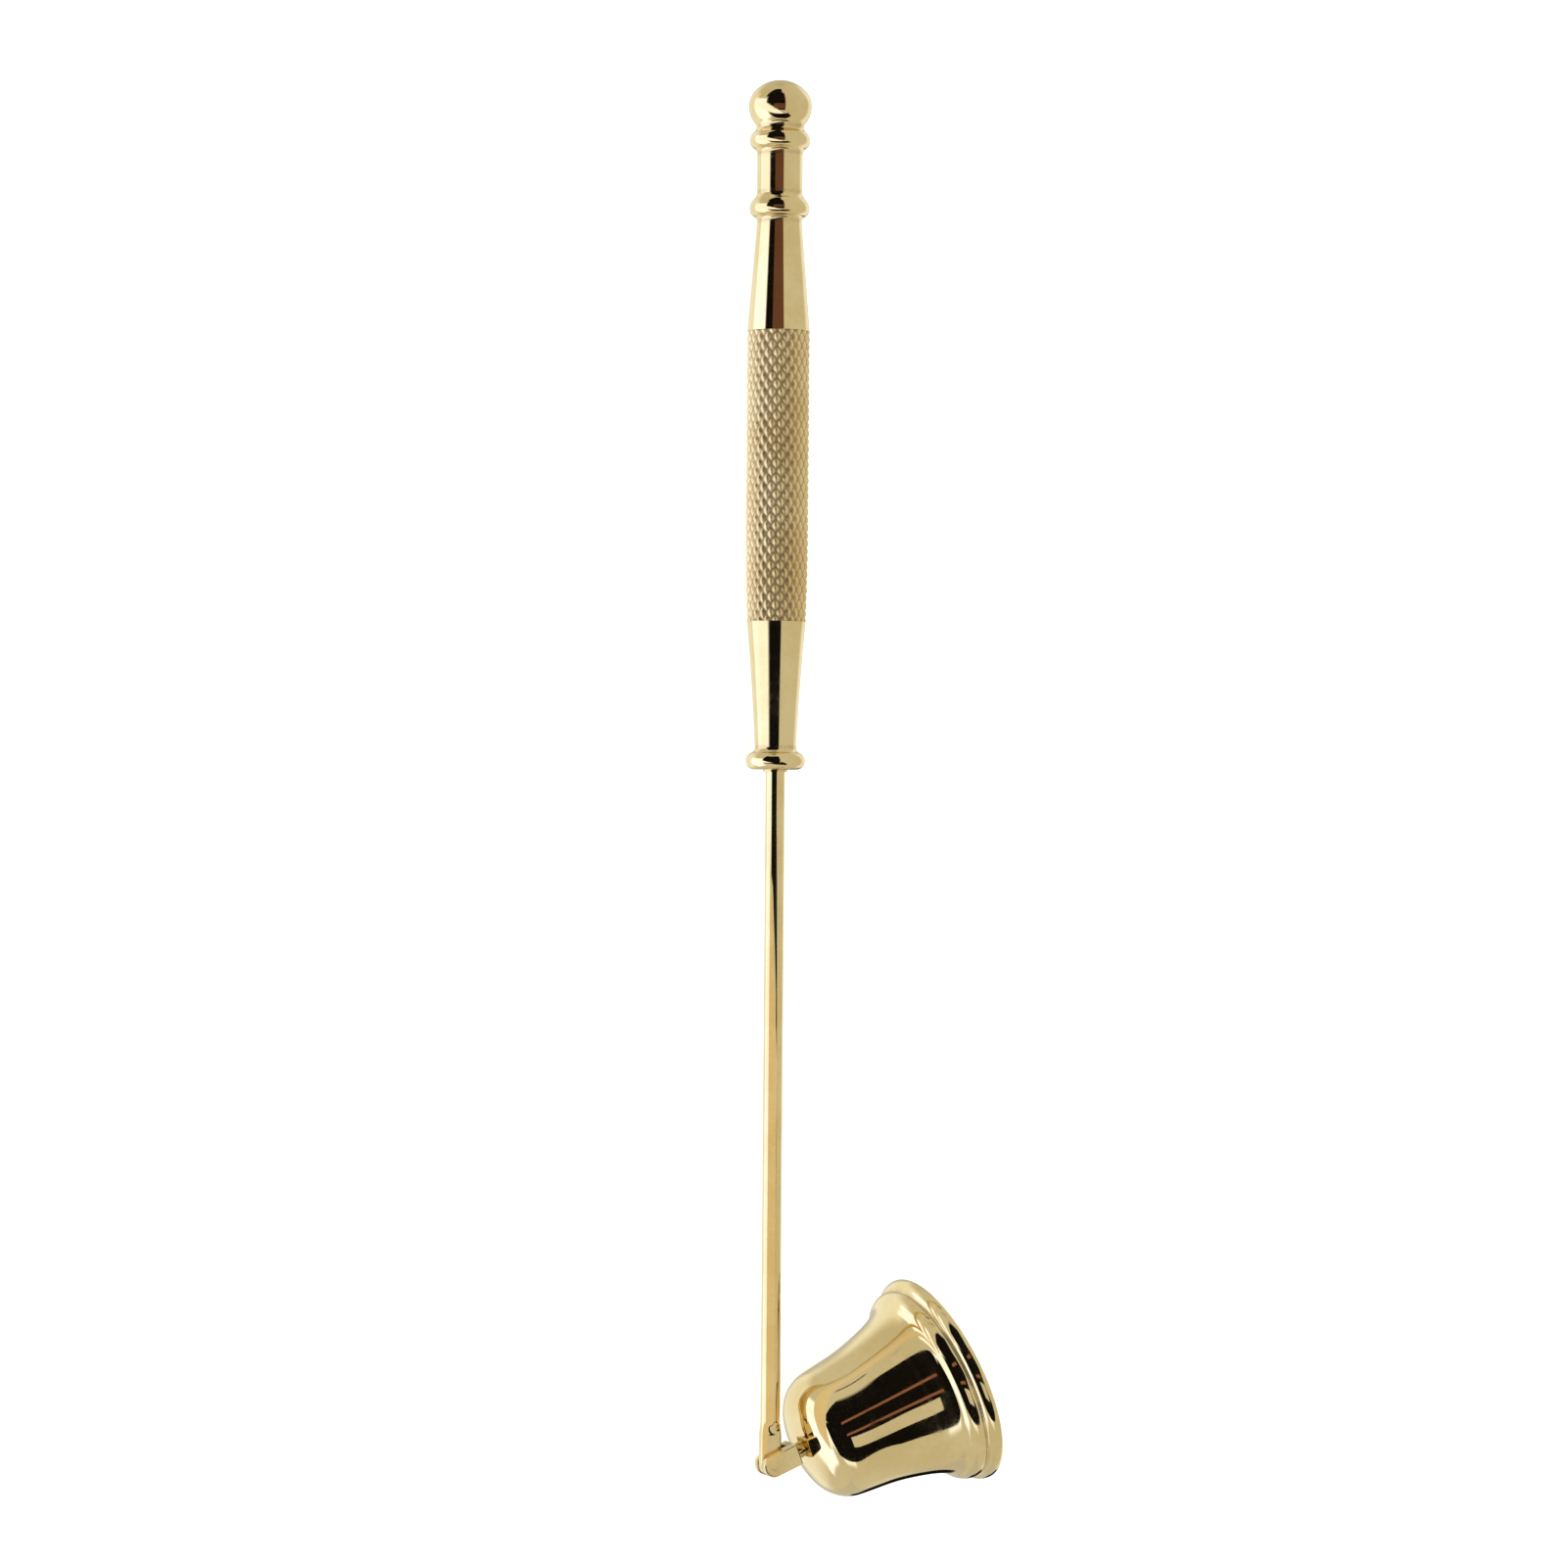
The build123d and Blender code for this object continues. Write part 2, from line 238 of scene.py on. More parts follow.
def turned_mesh(name: str, outline: Outline, turning: Turning, count: int) -> bpy.types.Object:
    """Turn an outline about an axis into a closed mesh with the outline's own normals.

    Args:
        name: Name of the object and its mesh.
        outline: The half section, which starts and ends at the axis or is a ring.
        turning: The axis.
        count: Number of points round the axis.

    Returns:
        The new object, linked to the scene.
    """
    angles = np.linspace(0, math.tau, count, endpoint=False)
    around = np.stack([np.cos(angles), np.sin(angles)], axis=1)
    rings: list[list[int]] = []
    places: list[tuple[float, float, float]] = []
    ring_at: dict[tuple[int, int], int] = {}

    def ring(point: np.ndarray) -> int:
        """Find the ring of points at a place of the outline, or make it.

        Args:
            point: Radius and place of the ring.

        Returns:
            Its number among the rings.
        """
        key = (round(point[0] * 1e8), round(point[1] * 1e8))
        if key not in ring_at:
            ring_at[key] = len(rings)
            circle = around if key[0] else around[:1]
            rings.append(list(range(len(places), len(places) + len(circle))))
            places.extend((point[0] * x, point[0] * y, point[1]) for x, y in circle)
        return ring_at[key]

    faces: list[list[int]] = []
    normals: list[tuple[float, float, float]] = []
    finishes: list[int] = []

    def lean(way: np.ndarray, number: int) -> tuple[float, float, float]:
        """Normal of the surface at a point of the circle, for a way of the outline."""
        x, y = around[number % count]
        return (way[1] * x, way[1] * y, -way[0])

    for run, (points, ways) in enumerate(outline.runs):
        inside = outline.lining is not None and run >= outline.lining
        for step in range(len(points) - 1):
            low, high = rings[ring(points[step])], rings[ring(points[step + 1])]
            if low is high:
                continue
            for turn in range(count):
                corners = [(low, turn, ways[step]), (low, turn + 1, ways[step])]
                corners += [(high, turn + 1, ways[step + 1]), (high, turn, ways[step + 1])]
                if len(low) == 1:
                    corners = corners[1:]
                elif len(high) == 1:
                    corners = corners[:3]
                faces.append([circle[number % len(circle)] for circle, number, _ in corners])
                normals.extend(lean(way, number) for _, number, way in corners)
                finishes.append(int(inside))
    matrix = turning.matrix()
    spin = matrix.to_3x3()
    mesh = bpy.data.meshes.new(name)
    mesh.from_pydata([matrix @ Vector(place) for place in places], [], faces)
    mesh.shade_smooth()
    mesh.normals_split_custom_set([spin @ Vector(normal) for normal in normals])
    mesh.polygons.foreach_set("material_index", finishes)
    return surface_object(name, mesh)


def surface_object(name: str, mesh: bpy.types.Mesh) -> bpy.types.Object:
    """Link a mesh to the scene as an object of the same name.

    Args:
        name: Name of the object.
        mesh: Its mesh.

    Returns:
        The new object.
    """
    made = bpy.data.objects.new(name, mesh)
    bpy.context.scene.collection.objects.link(made)
    return made


def applied(piece: bpy.types.Object) -> bpy.types.Object:
    """Replace a piece's mesh by the result of its modifiers, and remove them.

    Args:
        piece: The piece.

    Returns:
        The same piece.
    """
    graph = bpy.context.evaluated_depsgraph_get()
    finished = bpy.data.meshes.new_from_object(piece.evaluated_get(graph))
    old = piece.data
    piece.modifiers.clear()
    piece.data = finished
    finished.name = piece.name
    bpy.data.meshes.remove(old)
    return piece


def loft_mesh(name: str, rings: Sequence[Sequence[Vector]]) -> bpy.types.Mesh:
    """Join rings of points into a closed mesh with a flat cap at each end.

    Args:
        name: Name of the mesh.
        rings: Rings with as many points each, turning to the right along the way they go.

    Returns:
        The mesh, with its faces outwards.
    """
    count = len(rings[0])
    shell = bmesh.new()
    made = [[shell.verts.new(point) for point in ring] for ring in rings]
    for low, high in zip(made, made[1:]):
        for turn in range(count):
            after = (turn + 1) % count
            shell.faces.new((low[turn], low[after], high[after], high[turn]))
    shell.faces.new(made[0][::-1])
    shell.faces.new(made[-1])
    bmesh.ops.recalc_face_normals(shell, faces=shell.faces)
    mesh = bpy.data.meshes.new(name)
    shell.to_mesh(mesh)
    shell.free()
    mesh.shade_smooth()
    return mesh


def cut_with(piece: bpy.types.Object, tool: bpy.types.Object, operation: str) -> None:
    """Cut a piece with a tool, or add the tool to it, and delete the tool.

    Args:
        piece: The piece that is kept.
        tool: The object that cuts or is added.
        operation: DIFFERENCE or UNION.
    """
    modifier = piece.modifiers.new("cut", "BOOLEAN")
    modifier.operation = operation
    modifier.object = tool
    modifier.solver = "EXACT"
    applied(piece)
    bpy.data.objects.remove(tool)


@dataclass
class Handle:
    """The turned handle: collar, lower taper, grip, upper taper, beads and neck."""

    foot: float = 110.35 * MM
    bore_radius: float = 1.56 * MM
    bore_depth: float = 25.4 * MM
    boss_radius: float = 1.95 * MM
    boss_height: float = 0.35 * MM
    collar_radius: float = 4.7 * MM
    collar_round: float = 1.3 * MM
    collar_rise: float = 2.25 * MM
    waist_radius: float = 3.28 * MM
    lower_taper: float = 20.0 * MM
    taper_hollow: float = 0.12 * MM
    grip_length: float = 46.2 * MM
    grip_straight: float = 30.5 * MM
    grip_radius: float = 5.0 * MM
    grip_foot_radius: float = 4.72 * MM
    edge_step: float = 0.07 * MM
    knurl_depth: float = 0.34 * MM
    core_gap: float = 0.05 * MM
    upper_taper: float = 17.5 * MM
    upper_waist: float = 3.52 * MM
    low_bead: float = 4.74 * MM
    low_bead_rise: float = 1.95 * MM
    low_bead_fall: float = 2.65 * MM
    neck_radius: float = 3.6 * MM
    neck_length: float = 6.2 * MM
    high_bead: float = 4.78 * MM
    high_bead_rise: float = 2.05 * MM
    high_bead_fall: float = 2.2 * MM
    seat_radius: float = 3.75 * MM
    stud_hole: float = 2.01 * MM
    stud_hole_depth: float = 7.4 * MM
    crest_share: float = 0.62
    starts: int = 20
    rows: int = 37
    facets: int = 6
    around: int = 208

    @property
    def waist_at(self) -> float:
        """Place of the waist above the collar."""
        return self.foot + self.boss_height + self.collar_round + self.collar_rise

    @property
    def grip_foot_at(self) -> float:
        """Place where the grip begins."""
        return self.waist_at + self.lower_taper

    @property
    def grip_top_at(self) -> float:
        """Place where the grip ends."""
        return self.grip_foot_at + self.grip_length

    @property
    def seat_at(self) -> float:
        """Place of the face that carries the ball."""
        beads = self.low_bead_rise + self.low_bead_fall + self.high_bead_rise + self.high_bead_fall
        return self.grip_top_at + self.upper_taper + beads + self.neck_length

    def grooves(self) -> tuple[float, ...]:
        """Find the grooves round the bar, where dirt and painted shade darken it.

        Returns:
            Places beside the collar, the beads and the ball.
        """
        low_start = self.grip_top_at + self.upper_taper
        low_end = low_start + self.low_bead_rise + self.low_bead_fall
        boss = self.foot + self.boss_height
        return (boss, self.waist_at, low_start, low_end, low_end + self.neck_length, self.seat_at)

    def outline(self) -> Outline:
        """Draw half a section of the bar, with a recess where the knurl goes.

        Returns:
            The outline.
        """
        boss_at = self.foot + self.boss_height
        collar_at = boss_at + self.collar_round
        edge = self.grip_foot_radius - self.edge_step
        core = self.knurl_depth + self.core_gap
        line = Outline(0.0, self.foot + self.bore_depth)
        line.line(self.bore_radius, self.foot + self.bore_depth).line(self.bore_radius, self.foot)
        line.line(self.boss_radius, self.foot).line(self.boss_radius, boss_at)
        line.line(self.collar_radius - self.collar_round, boss_at)
        line.arc(self.collar_radius, collar_at, (1.0, 0.0), steps=16)
        line.swell(self.waist_radius, self.waist_at, self.crest_share)
        half = Vector((edge - self.waist_radius, self.lower_taper)).length / 2
        lean = math.atan2(edge - self.waist_radius, self.lower_taper)
        lean -= 2 * math.atan2(self.taper_hollow, half)
        line.arc(edge, self.grip_foot_at, (math.sin(lean), math.cos(lean)), steps=24)
        line.line(self.grip_foot_radius - core, self.grip_foot_at)
        line.line(self.grip_radius - core, self.grip_top_at - self.grip_straight)
        line.line(self.grip_radius - core, self.grip_top_at)
        line.line(self.grip_radius - self.edge_step, self.grip_top_at)
        line.line(self.upper_waist, self.grip_top_at + self.upper_taper)
        low_at = self.grip_top_at + self.upper_taper + self.low_bead_rise
        line.swell(self.low_bead, low_at, 1 - self.crest_share)
        line.swell(self.neck_radius, low_at + self.low_bead_fall, self.crest_share)
        neck_top = low_at + self.low_bead_fall + self.neck_length
        line.line(self.neck_radius, neck_top)
        line.swell(self.high_bead, neck_top + self.high_bead_rise, 1 - self.crest_share)
        line.swell(self.seat_radius, self.seat_at, self.crest_share)
        line.line(self.stud_hole, self.seat_at)
        line.line(self.stud_hole, self.seat_at - self.stud_hole_depth)
        return line.line(0.0, self.seat_at - self.stud_hole_depth)

    def build(self, pin: Vector) -> bpy.types.Object:
        """Turn the bar about the handle's axis, with the pin as its start."""
        turning = Turning(pin, Vector((0, 1, 0)), Vector((1, 0, 0)))
        return turned_mesh("handle_bar", self.outline(), turning, self.around)


class Graph:
    """Adds nodes to a tree and links them as they are added."""

    def __init__(self, tree: bpy.types.NodeTree) -> None:
        """Keep the tree that the nodes go into."""
        self.tree = tree

    def put(self, socket: Socket, value: object) -> None:
        """Link a socket to another one, or give it a value.

        Args:
            socket: Input of a node.
            value: Output of another node, or a plain value.
        """
        if isinstance(value, Socket):
            self.tree.links.new(value, socket)
        else:
            socket.default_value = value

    def node(self, kind: str, inputs: dict[int | str, object], **settings: object) -> bpy.types.Node:
        """Add a node.

        Args:
            kind: Blender's name of the node's type.
            inputs: Sockets or values for its inputs, by number or name.
            settings: Values of the node's own settings.

        Returns:
            The new node.
        """
        made = self.tree.nodes.new(kind)
        for name, value in settings.items():
            setattr(made, name, value)
        for key, value in inputs.items():
            self.put(made.inputs[key], value)
        return made

    def math(self, operation: str, *values: object) -> Socket:
        """Add a math node with its values in order, and return its result."""
        made = self.node("ShaderNodeMath", dict(enumerate(values)), operation=operation)
        return made.outputs[0]

    def point(self, x: object, y: object, z: object) -> Socket:
        """Join three numbers into a vector."""
        return self.node("ShaderNodeCombineXYZ", {0: x, 1: y, 2: z}).outputs[0]

    def here(self) -> bpy.types.bpy_prop_collection:
        """The three coordinates of each point of a mesh, in geometry nodes."""
        place = self.node("GeometryNodeInputPosition", {}).outputs[0]
        return self.node("ShaderNodeSeparateXYZ", {0: place}).outputs

    def noise(self, place: object, scale: object, detail: float, roughness: float) -> Socket:
        """Add a noise texture, and return its value."""
        inputs = {"Vector": place, "Scale": scale, "Detail": detail, "Roughness": roughness}
        return self.node("ShaderNodeTexNoise", inputs).outputs[0]

    def between(self, value: object, low: float, high: float) -> Socket:
        """Where a value lies on the way from low to high, smoothly from 0 to 1."""
        inputs = {"Value": value, "From Min": low, "From Max": high}
        return self.node("ShaderNodeMapRange", inputs, interpolation_type="SMOOTHSTEP").outputs[0]

    def mix(self, share: object, first: object, second: object) -> Socket:
        """Mix two colours by the share of the second."""
        return self.node("ShaderNodeMix", {0: share, 6: first, 7: second}, data_type="RGBA").outputs[2]

    def group(self, tree: bpy.types.NodeTree, inputs: dict[str, object]) -> bpy.types.bpy_prop_collection:
        """Add a shared group.

        Args:
            tree: The group's own tree.
            inputs: Sockets or values for its inputs, by name.

        Returns:
            Its outputs.
        """
        made = self.node("ShaderNodeGroup", {}, node_tree=tree)
        for name, value in inputs.items():
            self.put(made.inputs[name], value)
        return made.outputs


@dataclass
class Knurl:
    """The diamond knurl: rows of small pillows on a flat sheet that is wrapped round the grip."""

    handle: Handle

    INPUTS = {
        "Starts": "NodeSocketInt",
        "Rows": "NodeSocketInt",
        "Facets": "NodeSocketInt",
        "Length": "NodeSocketFloat",
        "Straight": "NodeSocketFloat",
        "Radius": "NodeSocketFloat",
        "Foot Radius": "NodeSocketFloat",
        "Depth": "NodeSocketFloat",
        "Axis Start": "NodeSocketVector",
        "Finish": "NodeSocketMaterial",
    }

    def tree(self) -> bpy.types.GeometryNodeTree:
        """Build the node tree that makes the knurl.

        Returns:
            The tree, whose inputs are the knurl's sizes, start and finish.
        """
        tree = bpy.data.node_groups.new("diamond_knurl", "GeometryNodeTree")
        for name, kind in self.INPUTS.items():
            tree.interface.new_socket(name, in_out="INPUT", socket_type=kind)
        tree.interface.new_socket("Knurl", in_out="OUTPUT", socket_type="NodeSocketGeometry")
        graph = Graph(tree)
        sizes = graph.node("NodeGroupInput", {}).outputs
        width = graph.math("DIVIDE", graph.math("MULTIPLY", sizes["Radius"], math.tau), sizes["Starts"])
        pitch = graph.math("DIVIDE", sizes["Length"], sizes["Rows"])
        flat = self._sheet(graph, sizes, width, pitch)
        wrapped = self._wrap(graph, sizes, width, flat)
        smooth = graph.node("GeometryNodeSetShadeSmooth", {"Geometry": wrapped})
        dressed = graph.node(
            "GeometryNodeSetMaterial", {"Geometry": smooth.outputs[0], "Material": sizes["Finish"]}
        )
        graph.node("NodeGroupOutput", {"Knurl": dressed.outputs[0]})
        return tree

    def _pillow(self, graph: Graph, sizes: object, width: Socket, pitch: Socket) -> Socket:
        """One diamond with a rounded top, flat side down, between four V grooves.

        Args:
            graph: Graph of the knurl.
            sizes: The knurl's inputs.
            width: Width of a diamond round the grip.
            pitch: Distance between two rows.

        Returns:
            The diamond's mesh, about its own middle.
        """
        count = graph.math("ADD", sizes["Facets"], 1)
        square = graph.node(
            "GeometryNodeMeshGrid", {"Size X": 2.0, "Size Y": 2.0, "Vertices X": count, "Vertices Y": count}
        )
        split = graph.node("GeometryNodeTriangulate", {0: square.outputs[0]}, quad_method="FIXED")
        left, right, _ = graph.here()
        x = graph.math("MULTIPLY", graph.math("ADD", left, right), graph.math("DIVIDE", width, 4))
        y = graph.math("MULTIPLY", graph.math("SUBTRACT", right, left), graph.math("DIVIDE", pitch, 2))
        rounds = [graph.math("COSINE", graph.math("MULTIPLY", way, math.pi / 2)) for way in (left, right)]
        z = graph.math("MULTIPLY", graph.math("MULTIPLY", *rounds), sizes["Depth"])
        return graph.node(
            "GeometryNodeSetPosition", {"Geometry": split.outputs[0], "Position": graph.point(x, y, z)}
        ).outputs[0]

    def _sheet(self, graph: Graph, sizes: object, width: Socket, pitch: Socket) -> Socket:
        """The pillows in staggered rows on a flat sheet, cut off square at both ends.

        Args:
            graph: Graph of the knurl.
            sizes: The knurl's inputs.
            width: Width of a diamond round the grip.
            pitch: Distance between two rows.

        Returns:
            The sheet, with its height kept as an attribute.
        """
        pillow = self._pillow(graph, sizes, width, pitch)
        index = graph.node("GeometryNodeInputIndex", {}).outputs[0]
        row = graph.math("FLOOR", graph.math("DIVIDE", index, sizes["Starts"]))
        shift = graph.math("DIVIDE", graph.math("MODULO", row, 2), 2)
        column = graph.math("ADD", graph.math("MODULO", index, sizes["Starts"]), shift)
        count = graph.math("MULTIPLY", sizes["Starts"], graph.math("ADD", sizes["Rows"], 1))
        place = graph.point(graph.math("MULTIPLY", column, width), graph.math("MULTIPLY", row, pitch), 0.0)
        points = graph.node("GeometryNodePoints", {"Count": count, "Position": place})
        copies = graph.node(
            "GeometryNodeInstanceOnPoints", {"Points": points.outputs[0], "Instance": pillow}
        )
        real = graph.node("GeometryNodeRealizeInstances", {0: copies.outputs[0]})
        joined = graph.node(
            "GeometryNodeMergeByDistance", {"Geometry": real.outputs[0], "Distance": MERGE_DISTANCE}
        )
        margin = graph.math("DIVIDE", pitch, sizes["Facets"])
        past = self._outside(graph, sizes, margin)
        cut = graph.node(
            "GeometryNodeDeleteGeometry", {"Geometry": joined.outputs[0], "Selection": past}, domain="FACE"
        )
        across, up, height = graph.here()
        along = graph.node("ShaderNodeClamp", {0: up, 1: 0.0, 2: sizes["Length"]})
        ends = graph.node(
            "GeometryNodeSetPosition",
            {
                "Geometry": cut.outputs[0],
                "Selection": self._outside(graph, sizes, MERGE_DISTANCE),
                "Position": graph.point(across, along.outputs[0], 0.0),
            },
        )
        crest = graph.math("DIVIDE", height, sizes["Depth"])
        return graph.node(
            "GeometryNodeStoreNamedAttribute",
            {"Geometry": ends.outputs[0], "Name": CREST, "Value": crest},
            data_type="FLOAT",
            domain="POINT",
        ).outputs[0]

    def _outside(self, graph: Graph, sizes: object, margin: object) -> Socket:
        """Tell which places on the flat sheet lie past either end.

        Args:
            graph: Graph of the knurl.
            sizes: The knurl's inputs.
            margin: How far past an end still counts as inside.

        Returns:
            A choice that is true outside.
        """
        half = graph.math("DIVIDE", sizes["Length"], 2)
        off = graph.math("ABSOLUTE", graph.math("SUBTRACT", graph.here()[1], half))
        return graph.math("GREATER_THAN", off, graph.math("ADD", half, margin))

    def _wrap(self, graph: Graph, sizes: object, width: Socket, flat: Socket) -> Socket:
        """Wrap the flat sheet round the grip, whose foot narrows a little.

        Args:
            graph: Graph of the knurl.
            sizes: The knurl's inputs.
            width: Width of a diamond round the grip.
            flat: The flat sheet.

        Returns:
            The knurl in its place on the handle.
        """
        around, along, height = graph.here()
        turn = graph.math(
            "DIVIDE", graph.math("MULTIPLY", around, math.tau), graph.math("MULTIPLY", width, sizes["Starts"])
        )
        narrow = graph.math("SUBTRACT", sizes["Length"], sizes["Straight"])
        left = graph.math("SUBTRACT", narrow, along)
        share = graph.math("MAXIMUM", graph.math("DIVIDE", left, narrow), 0.0)
        loss = graph.math("MULTIPLY", graph.math("SUBTRACT", sizes["Radius"], sizes["Foot Radius"]), share)
        crest = graph.math("SUBTRACT", sizes["Radius"], graph.math("MULTIPLY", loss, share))
        reach = graph.math("ADD", graph.math("SUBTRACT", crest, sizes["Depth"]), height)
        x = graph.math("MULTIPLY", reach, graph.math("COSINE", turn))
        z = graph.math("MULTIPLY", reach, graph.math("MULTIPLY", graph.math("SINE", turn), -1.0))
        place = graph.node(
            "ShaderNodeVectorMath", {0: graph.point(x, along, z), 1: sizes["Axis Start"]}, operation="ADD"
        )
        round_sheet = graph.node(
            "GeometryNodeSetPosition", {"Geometry": flat, "Position": place.outputs[0]}
        )
        return graph.node(
            "GeometryNodeMergeByDistance",
            {"Geometry": round_sheet.outputs[0], "Distance": MERGE_DISTANCE},
        ).outputs[0]

    def build(self, pin: Vector, finish: bpy.types.Material) -> bpy.types.Object:
        """Make the knurl as a plain mesh.

        Args:
            pin: Place of the hinge pin, from which the handle is measured.
            finish: Material of the knurl.

        Returns:
            The knurl's object.
        """
        handle = self.handle
        values = {
            "Starts": handle.starts,
            "Rows": handle.rows,
            "Facets": handle.facets,
            "Length": handle.grip_length,
            "Straight": handle.grip_straight,
            "Radius": handle.grip_radius,
            "Foot Radius": handle.grip_foot_radius,
            "Depth": handle.knurl_depth,
            "Axis Start": pin + Vector((0, handle.grip_foot_at, 0)),
            "Finish": finish,
        }
        tree = self.tree()
        piece = surface_object("grip_knurl", bpy.data.meshes.new("grip_knurl"))
        modifier = piece.modifiers.new("knurl", "NODES")
        modifier.node_group = tree
        for socket in tree.interface.items_tree:
            if socket.in_out == "INPUT":
                modifier[socket.identifier] = values[socket.name]
        return applied(piece)


@dataclass
class FinialBall:
    """The flattened ball on top of the handle, with the stud that screws into it."""

    seat_at: float
    seat_radius: float
    radius: float = 5.0 * MM
    below: float = 3.3 * MM
    above: float = 4.2 * MM
    crest_share: float = 0.8
    side_share: float = 0.85
    stud_radius: float = 2.0 * MM
    stud_length: float = 7.0 * MM
    stud_chamfer: float = 0.3 * MM
    around: int = 208

    def outline(self) -> Outline:
        """Draw half a section of the ball: a tight round at its side and a wide one on its top.

        Returns:
            The outline.
        """
        side_round = self.above * self.side_share
        ring = self.radius - side_round
        top = (ring**2 + self.above**2 - side_round**2) / (2 * (self.above - side_round))
        turn = math.asin(ring / (top - side_round))
        ball_at = self.seat_at + self.below
        tip_at = ball_at + self.above
        foot_at = self.seat_at - self.stud_length
        line = Outline(0.0, foot_at)
        line.line(self.stud_radius - self.stud_chamfer, foot_at)
        line.line(self.stud_radius, foot_at + self.stud_chamfer).line(self.stud_radius, self.seat_at)
        line.line(self.seat_radius, self.seat_at)
        line.swell(self.radius, ball_at, 1 - self.crest_share)
        line.arc(top * math.sin(turn), tip_at - top * (1 - math.cos(turn)), (0.0, 1.0), steps=32)
        last = line.runs[-1][1][-1]
        return line.arc(0.0, tip_at, (float(last[0]), float(last[1])))

    def build(self, pin: Vector) -> bpy.types.Object:
        """Turn the ball about the handle's axis."""
        turning = Turning(pin, Vector((0, 1, 0)), Vector((1, 0, 0)))
        return turned_mesh("finial_cap", self.outline(), turning, self.around)


def rounded_reach(turn: float, half_width: float, half_height: float, corner: float) -> float:
    """How far a rounded rectangle reaches from its middle in a direction.

    Args:
        turn: Angle of the direction from the width.
        half_width: Half of its width.
        half_height: Half of its height.
        corner: Radius of its corners.

    Returns:
        The distance from the middle to the edge.
    """
    across, up = abs(math.cos(turn)), abs(math.sin(turn))
    corner = min(corner, half_width, half_height)
    flat_x, flat_y = half_width - corner, half_height - corner
    if half_width * up <= flat_y * across:
        return half_width / across
    if half_height * across <= flat_x * up:
        return half_height / up
    middle = across * flat_x + up * flat_y
    return middle + math.sqrt(middle**2 - (flat_x**2 + flat_y**2 - corner**2))


@dataclass
class Rod:
    """The slim rod, whose lower end is hammered flat and drilled for the pin."""

    top_at: float = 135.35 * MM
    radius: float = 1.55 * MM
    top_chamfer: float = 0.3 * MM
    tang_width: float = 3.4 * MM
    tang_thickness: float = 1.5 * MM
    flat_length: float = 4.6 * MM
    blend_length: float = 2.6 * MM
    edge_radius: float = 0.3 * MM
    hole_radius: float = 0.79 * MM
    around: int = 160
    end_rings: int = 20
    blend_rings: int = 36

    def _stations(self) -> list[tuple[float, float, float]]:
        """Lay out the rod's sections.

        Returns:
            Places along the rod, each with its half width and how round it is there.
        """
        half = self.tang_width / 2
        ends = [math.pi / 2 * (ring + 0.5) / self.end_rings for ring in range(self.end_rings)]
        stations = [(-half * math.cos(turn), half * math.sin(turn), 0.0) for turn in ends]
        stations += [(0.0, half, 0.0), (self.flat_length - self.edge_radius, half, 0.0)]
        for ring in range(self.blend_rings + 1):
            share = ring / self.blend_rings
            stations.append((self.flat_length + share * self.blend_length, half, share))
        straight = self.flat_length + self.blend_length + self.edge_radius
        shoulder = self.top_at - self.top_chamfer
        stations += [(straight, half, 1.0), (shoulder - self.edge_radius, half, 1.0), (shoulder, half, 1.0)]
        return stations

    def build(self, pin: Vector, pin_axis: Vector) -> bpy.types.Object:
        """Loft the rod through its sections and drill it.

        Args:
            pin: Place of the hinge pin.
            pin_axis: Direction of the pin.

        Returns:
            The rod's object.
        """
        along = Vector((0, 1, 0))
        wide = along.cross(pin_axis)
        turns = [math.tau * step / self.around for step in range(self.around)]
        rings = []
        for at, half, roundness in self._stations():
            ease = roundness * roundness * (3 - 2 * roundness)
            ring = []
            for turn in turns:
                flat = rounded_reach(turn, half, self.tang_thickness / 2, self.edge_radius)
                reach = flat + (self.radius - flat) * ease
                side = wide * (reach * math.cos(turn)) + pin_axis * (reach * math.sin(turn))
                ring.append(pin + along * at + side)
            rings.append(ring)
        tip = self.radius - self.top_chamfer
        rings.append(
            [
                pin + along * self.top_at + (wide * math.cos(turn) + pin_axis * math.sin(turn)) * tip
                for turn in turns
            ]
        )
        piece = surface_object("rod_bar", loft_mesh("rod_bar", rings))
        drill = circle_bar(pin, pin_axis, self.hole_radius, -self.tang_width, self.tang_width)
        cut_with(piece, drill, "DIFFERENCE")
        return even_shading(piece)


def circle_bar(
    origin: Vector, axis: Vector, radius: float, start: float, end: float, count: int = 48
) -> bpy.types.Object:
    """A plain round bar, as a tool to cut with or a part to add.

    Args:
        origin: Point on its axis.
        axis: Direction of its axis.
        radius: Its radius.
        start: Where it starts along the axis.
        end: Where it ends.
        count: Number of points round it.

    Returns:
        The bar's object.
    """
    side = axis.orthogonal().normalized()
    across = axis.cross(side)
    turns = [math.tau * step / count for step in range(count)]
    circle = [(side * math.cos(turn) + across * math.sin(turn)) * radius for turn in turns]
    rings = [[origin + axis * at + point for point in circle] for at in (start, end)]
    return surface_object("round_tool", loft_mesh("round_tool", rings))


def even_shading(piece: bpy.types.Object) -> bpy.types.Object:
    """Shade a piece smooth with crisp corners, and keep its flat faces flat.

    Args:
        piece: The piece.

    Returns:
        The same piece.
    """
    piece.data.shade_smooth()
    piece.data.set_sharp_from_angle(angle=CORNER_ANGLE)
    modifier = piece.modifiers.new("normals", "WEIGHTED_NORMAL")
    modifier.keep_sharp = True
    return applied(piece)


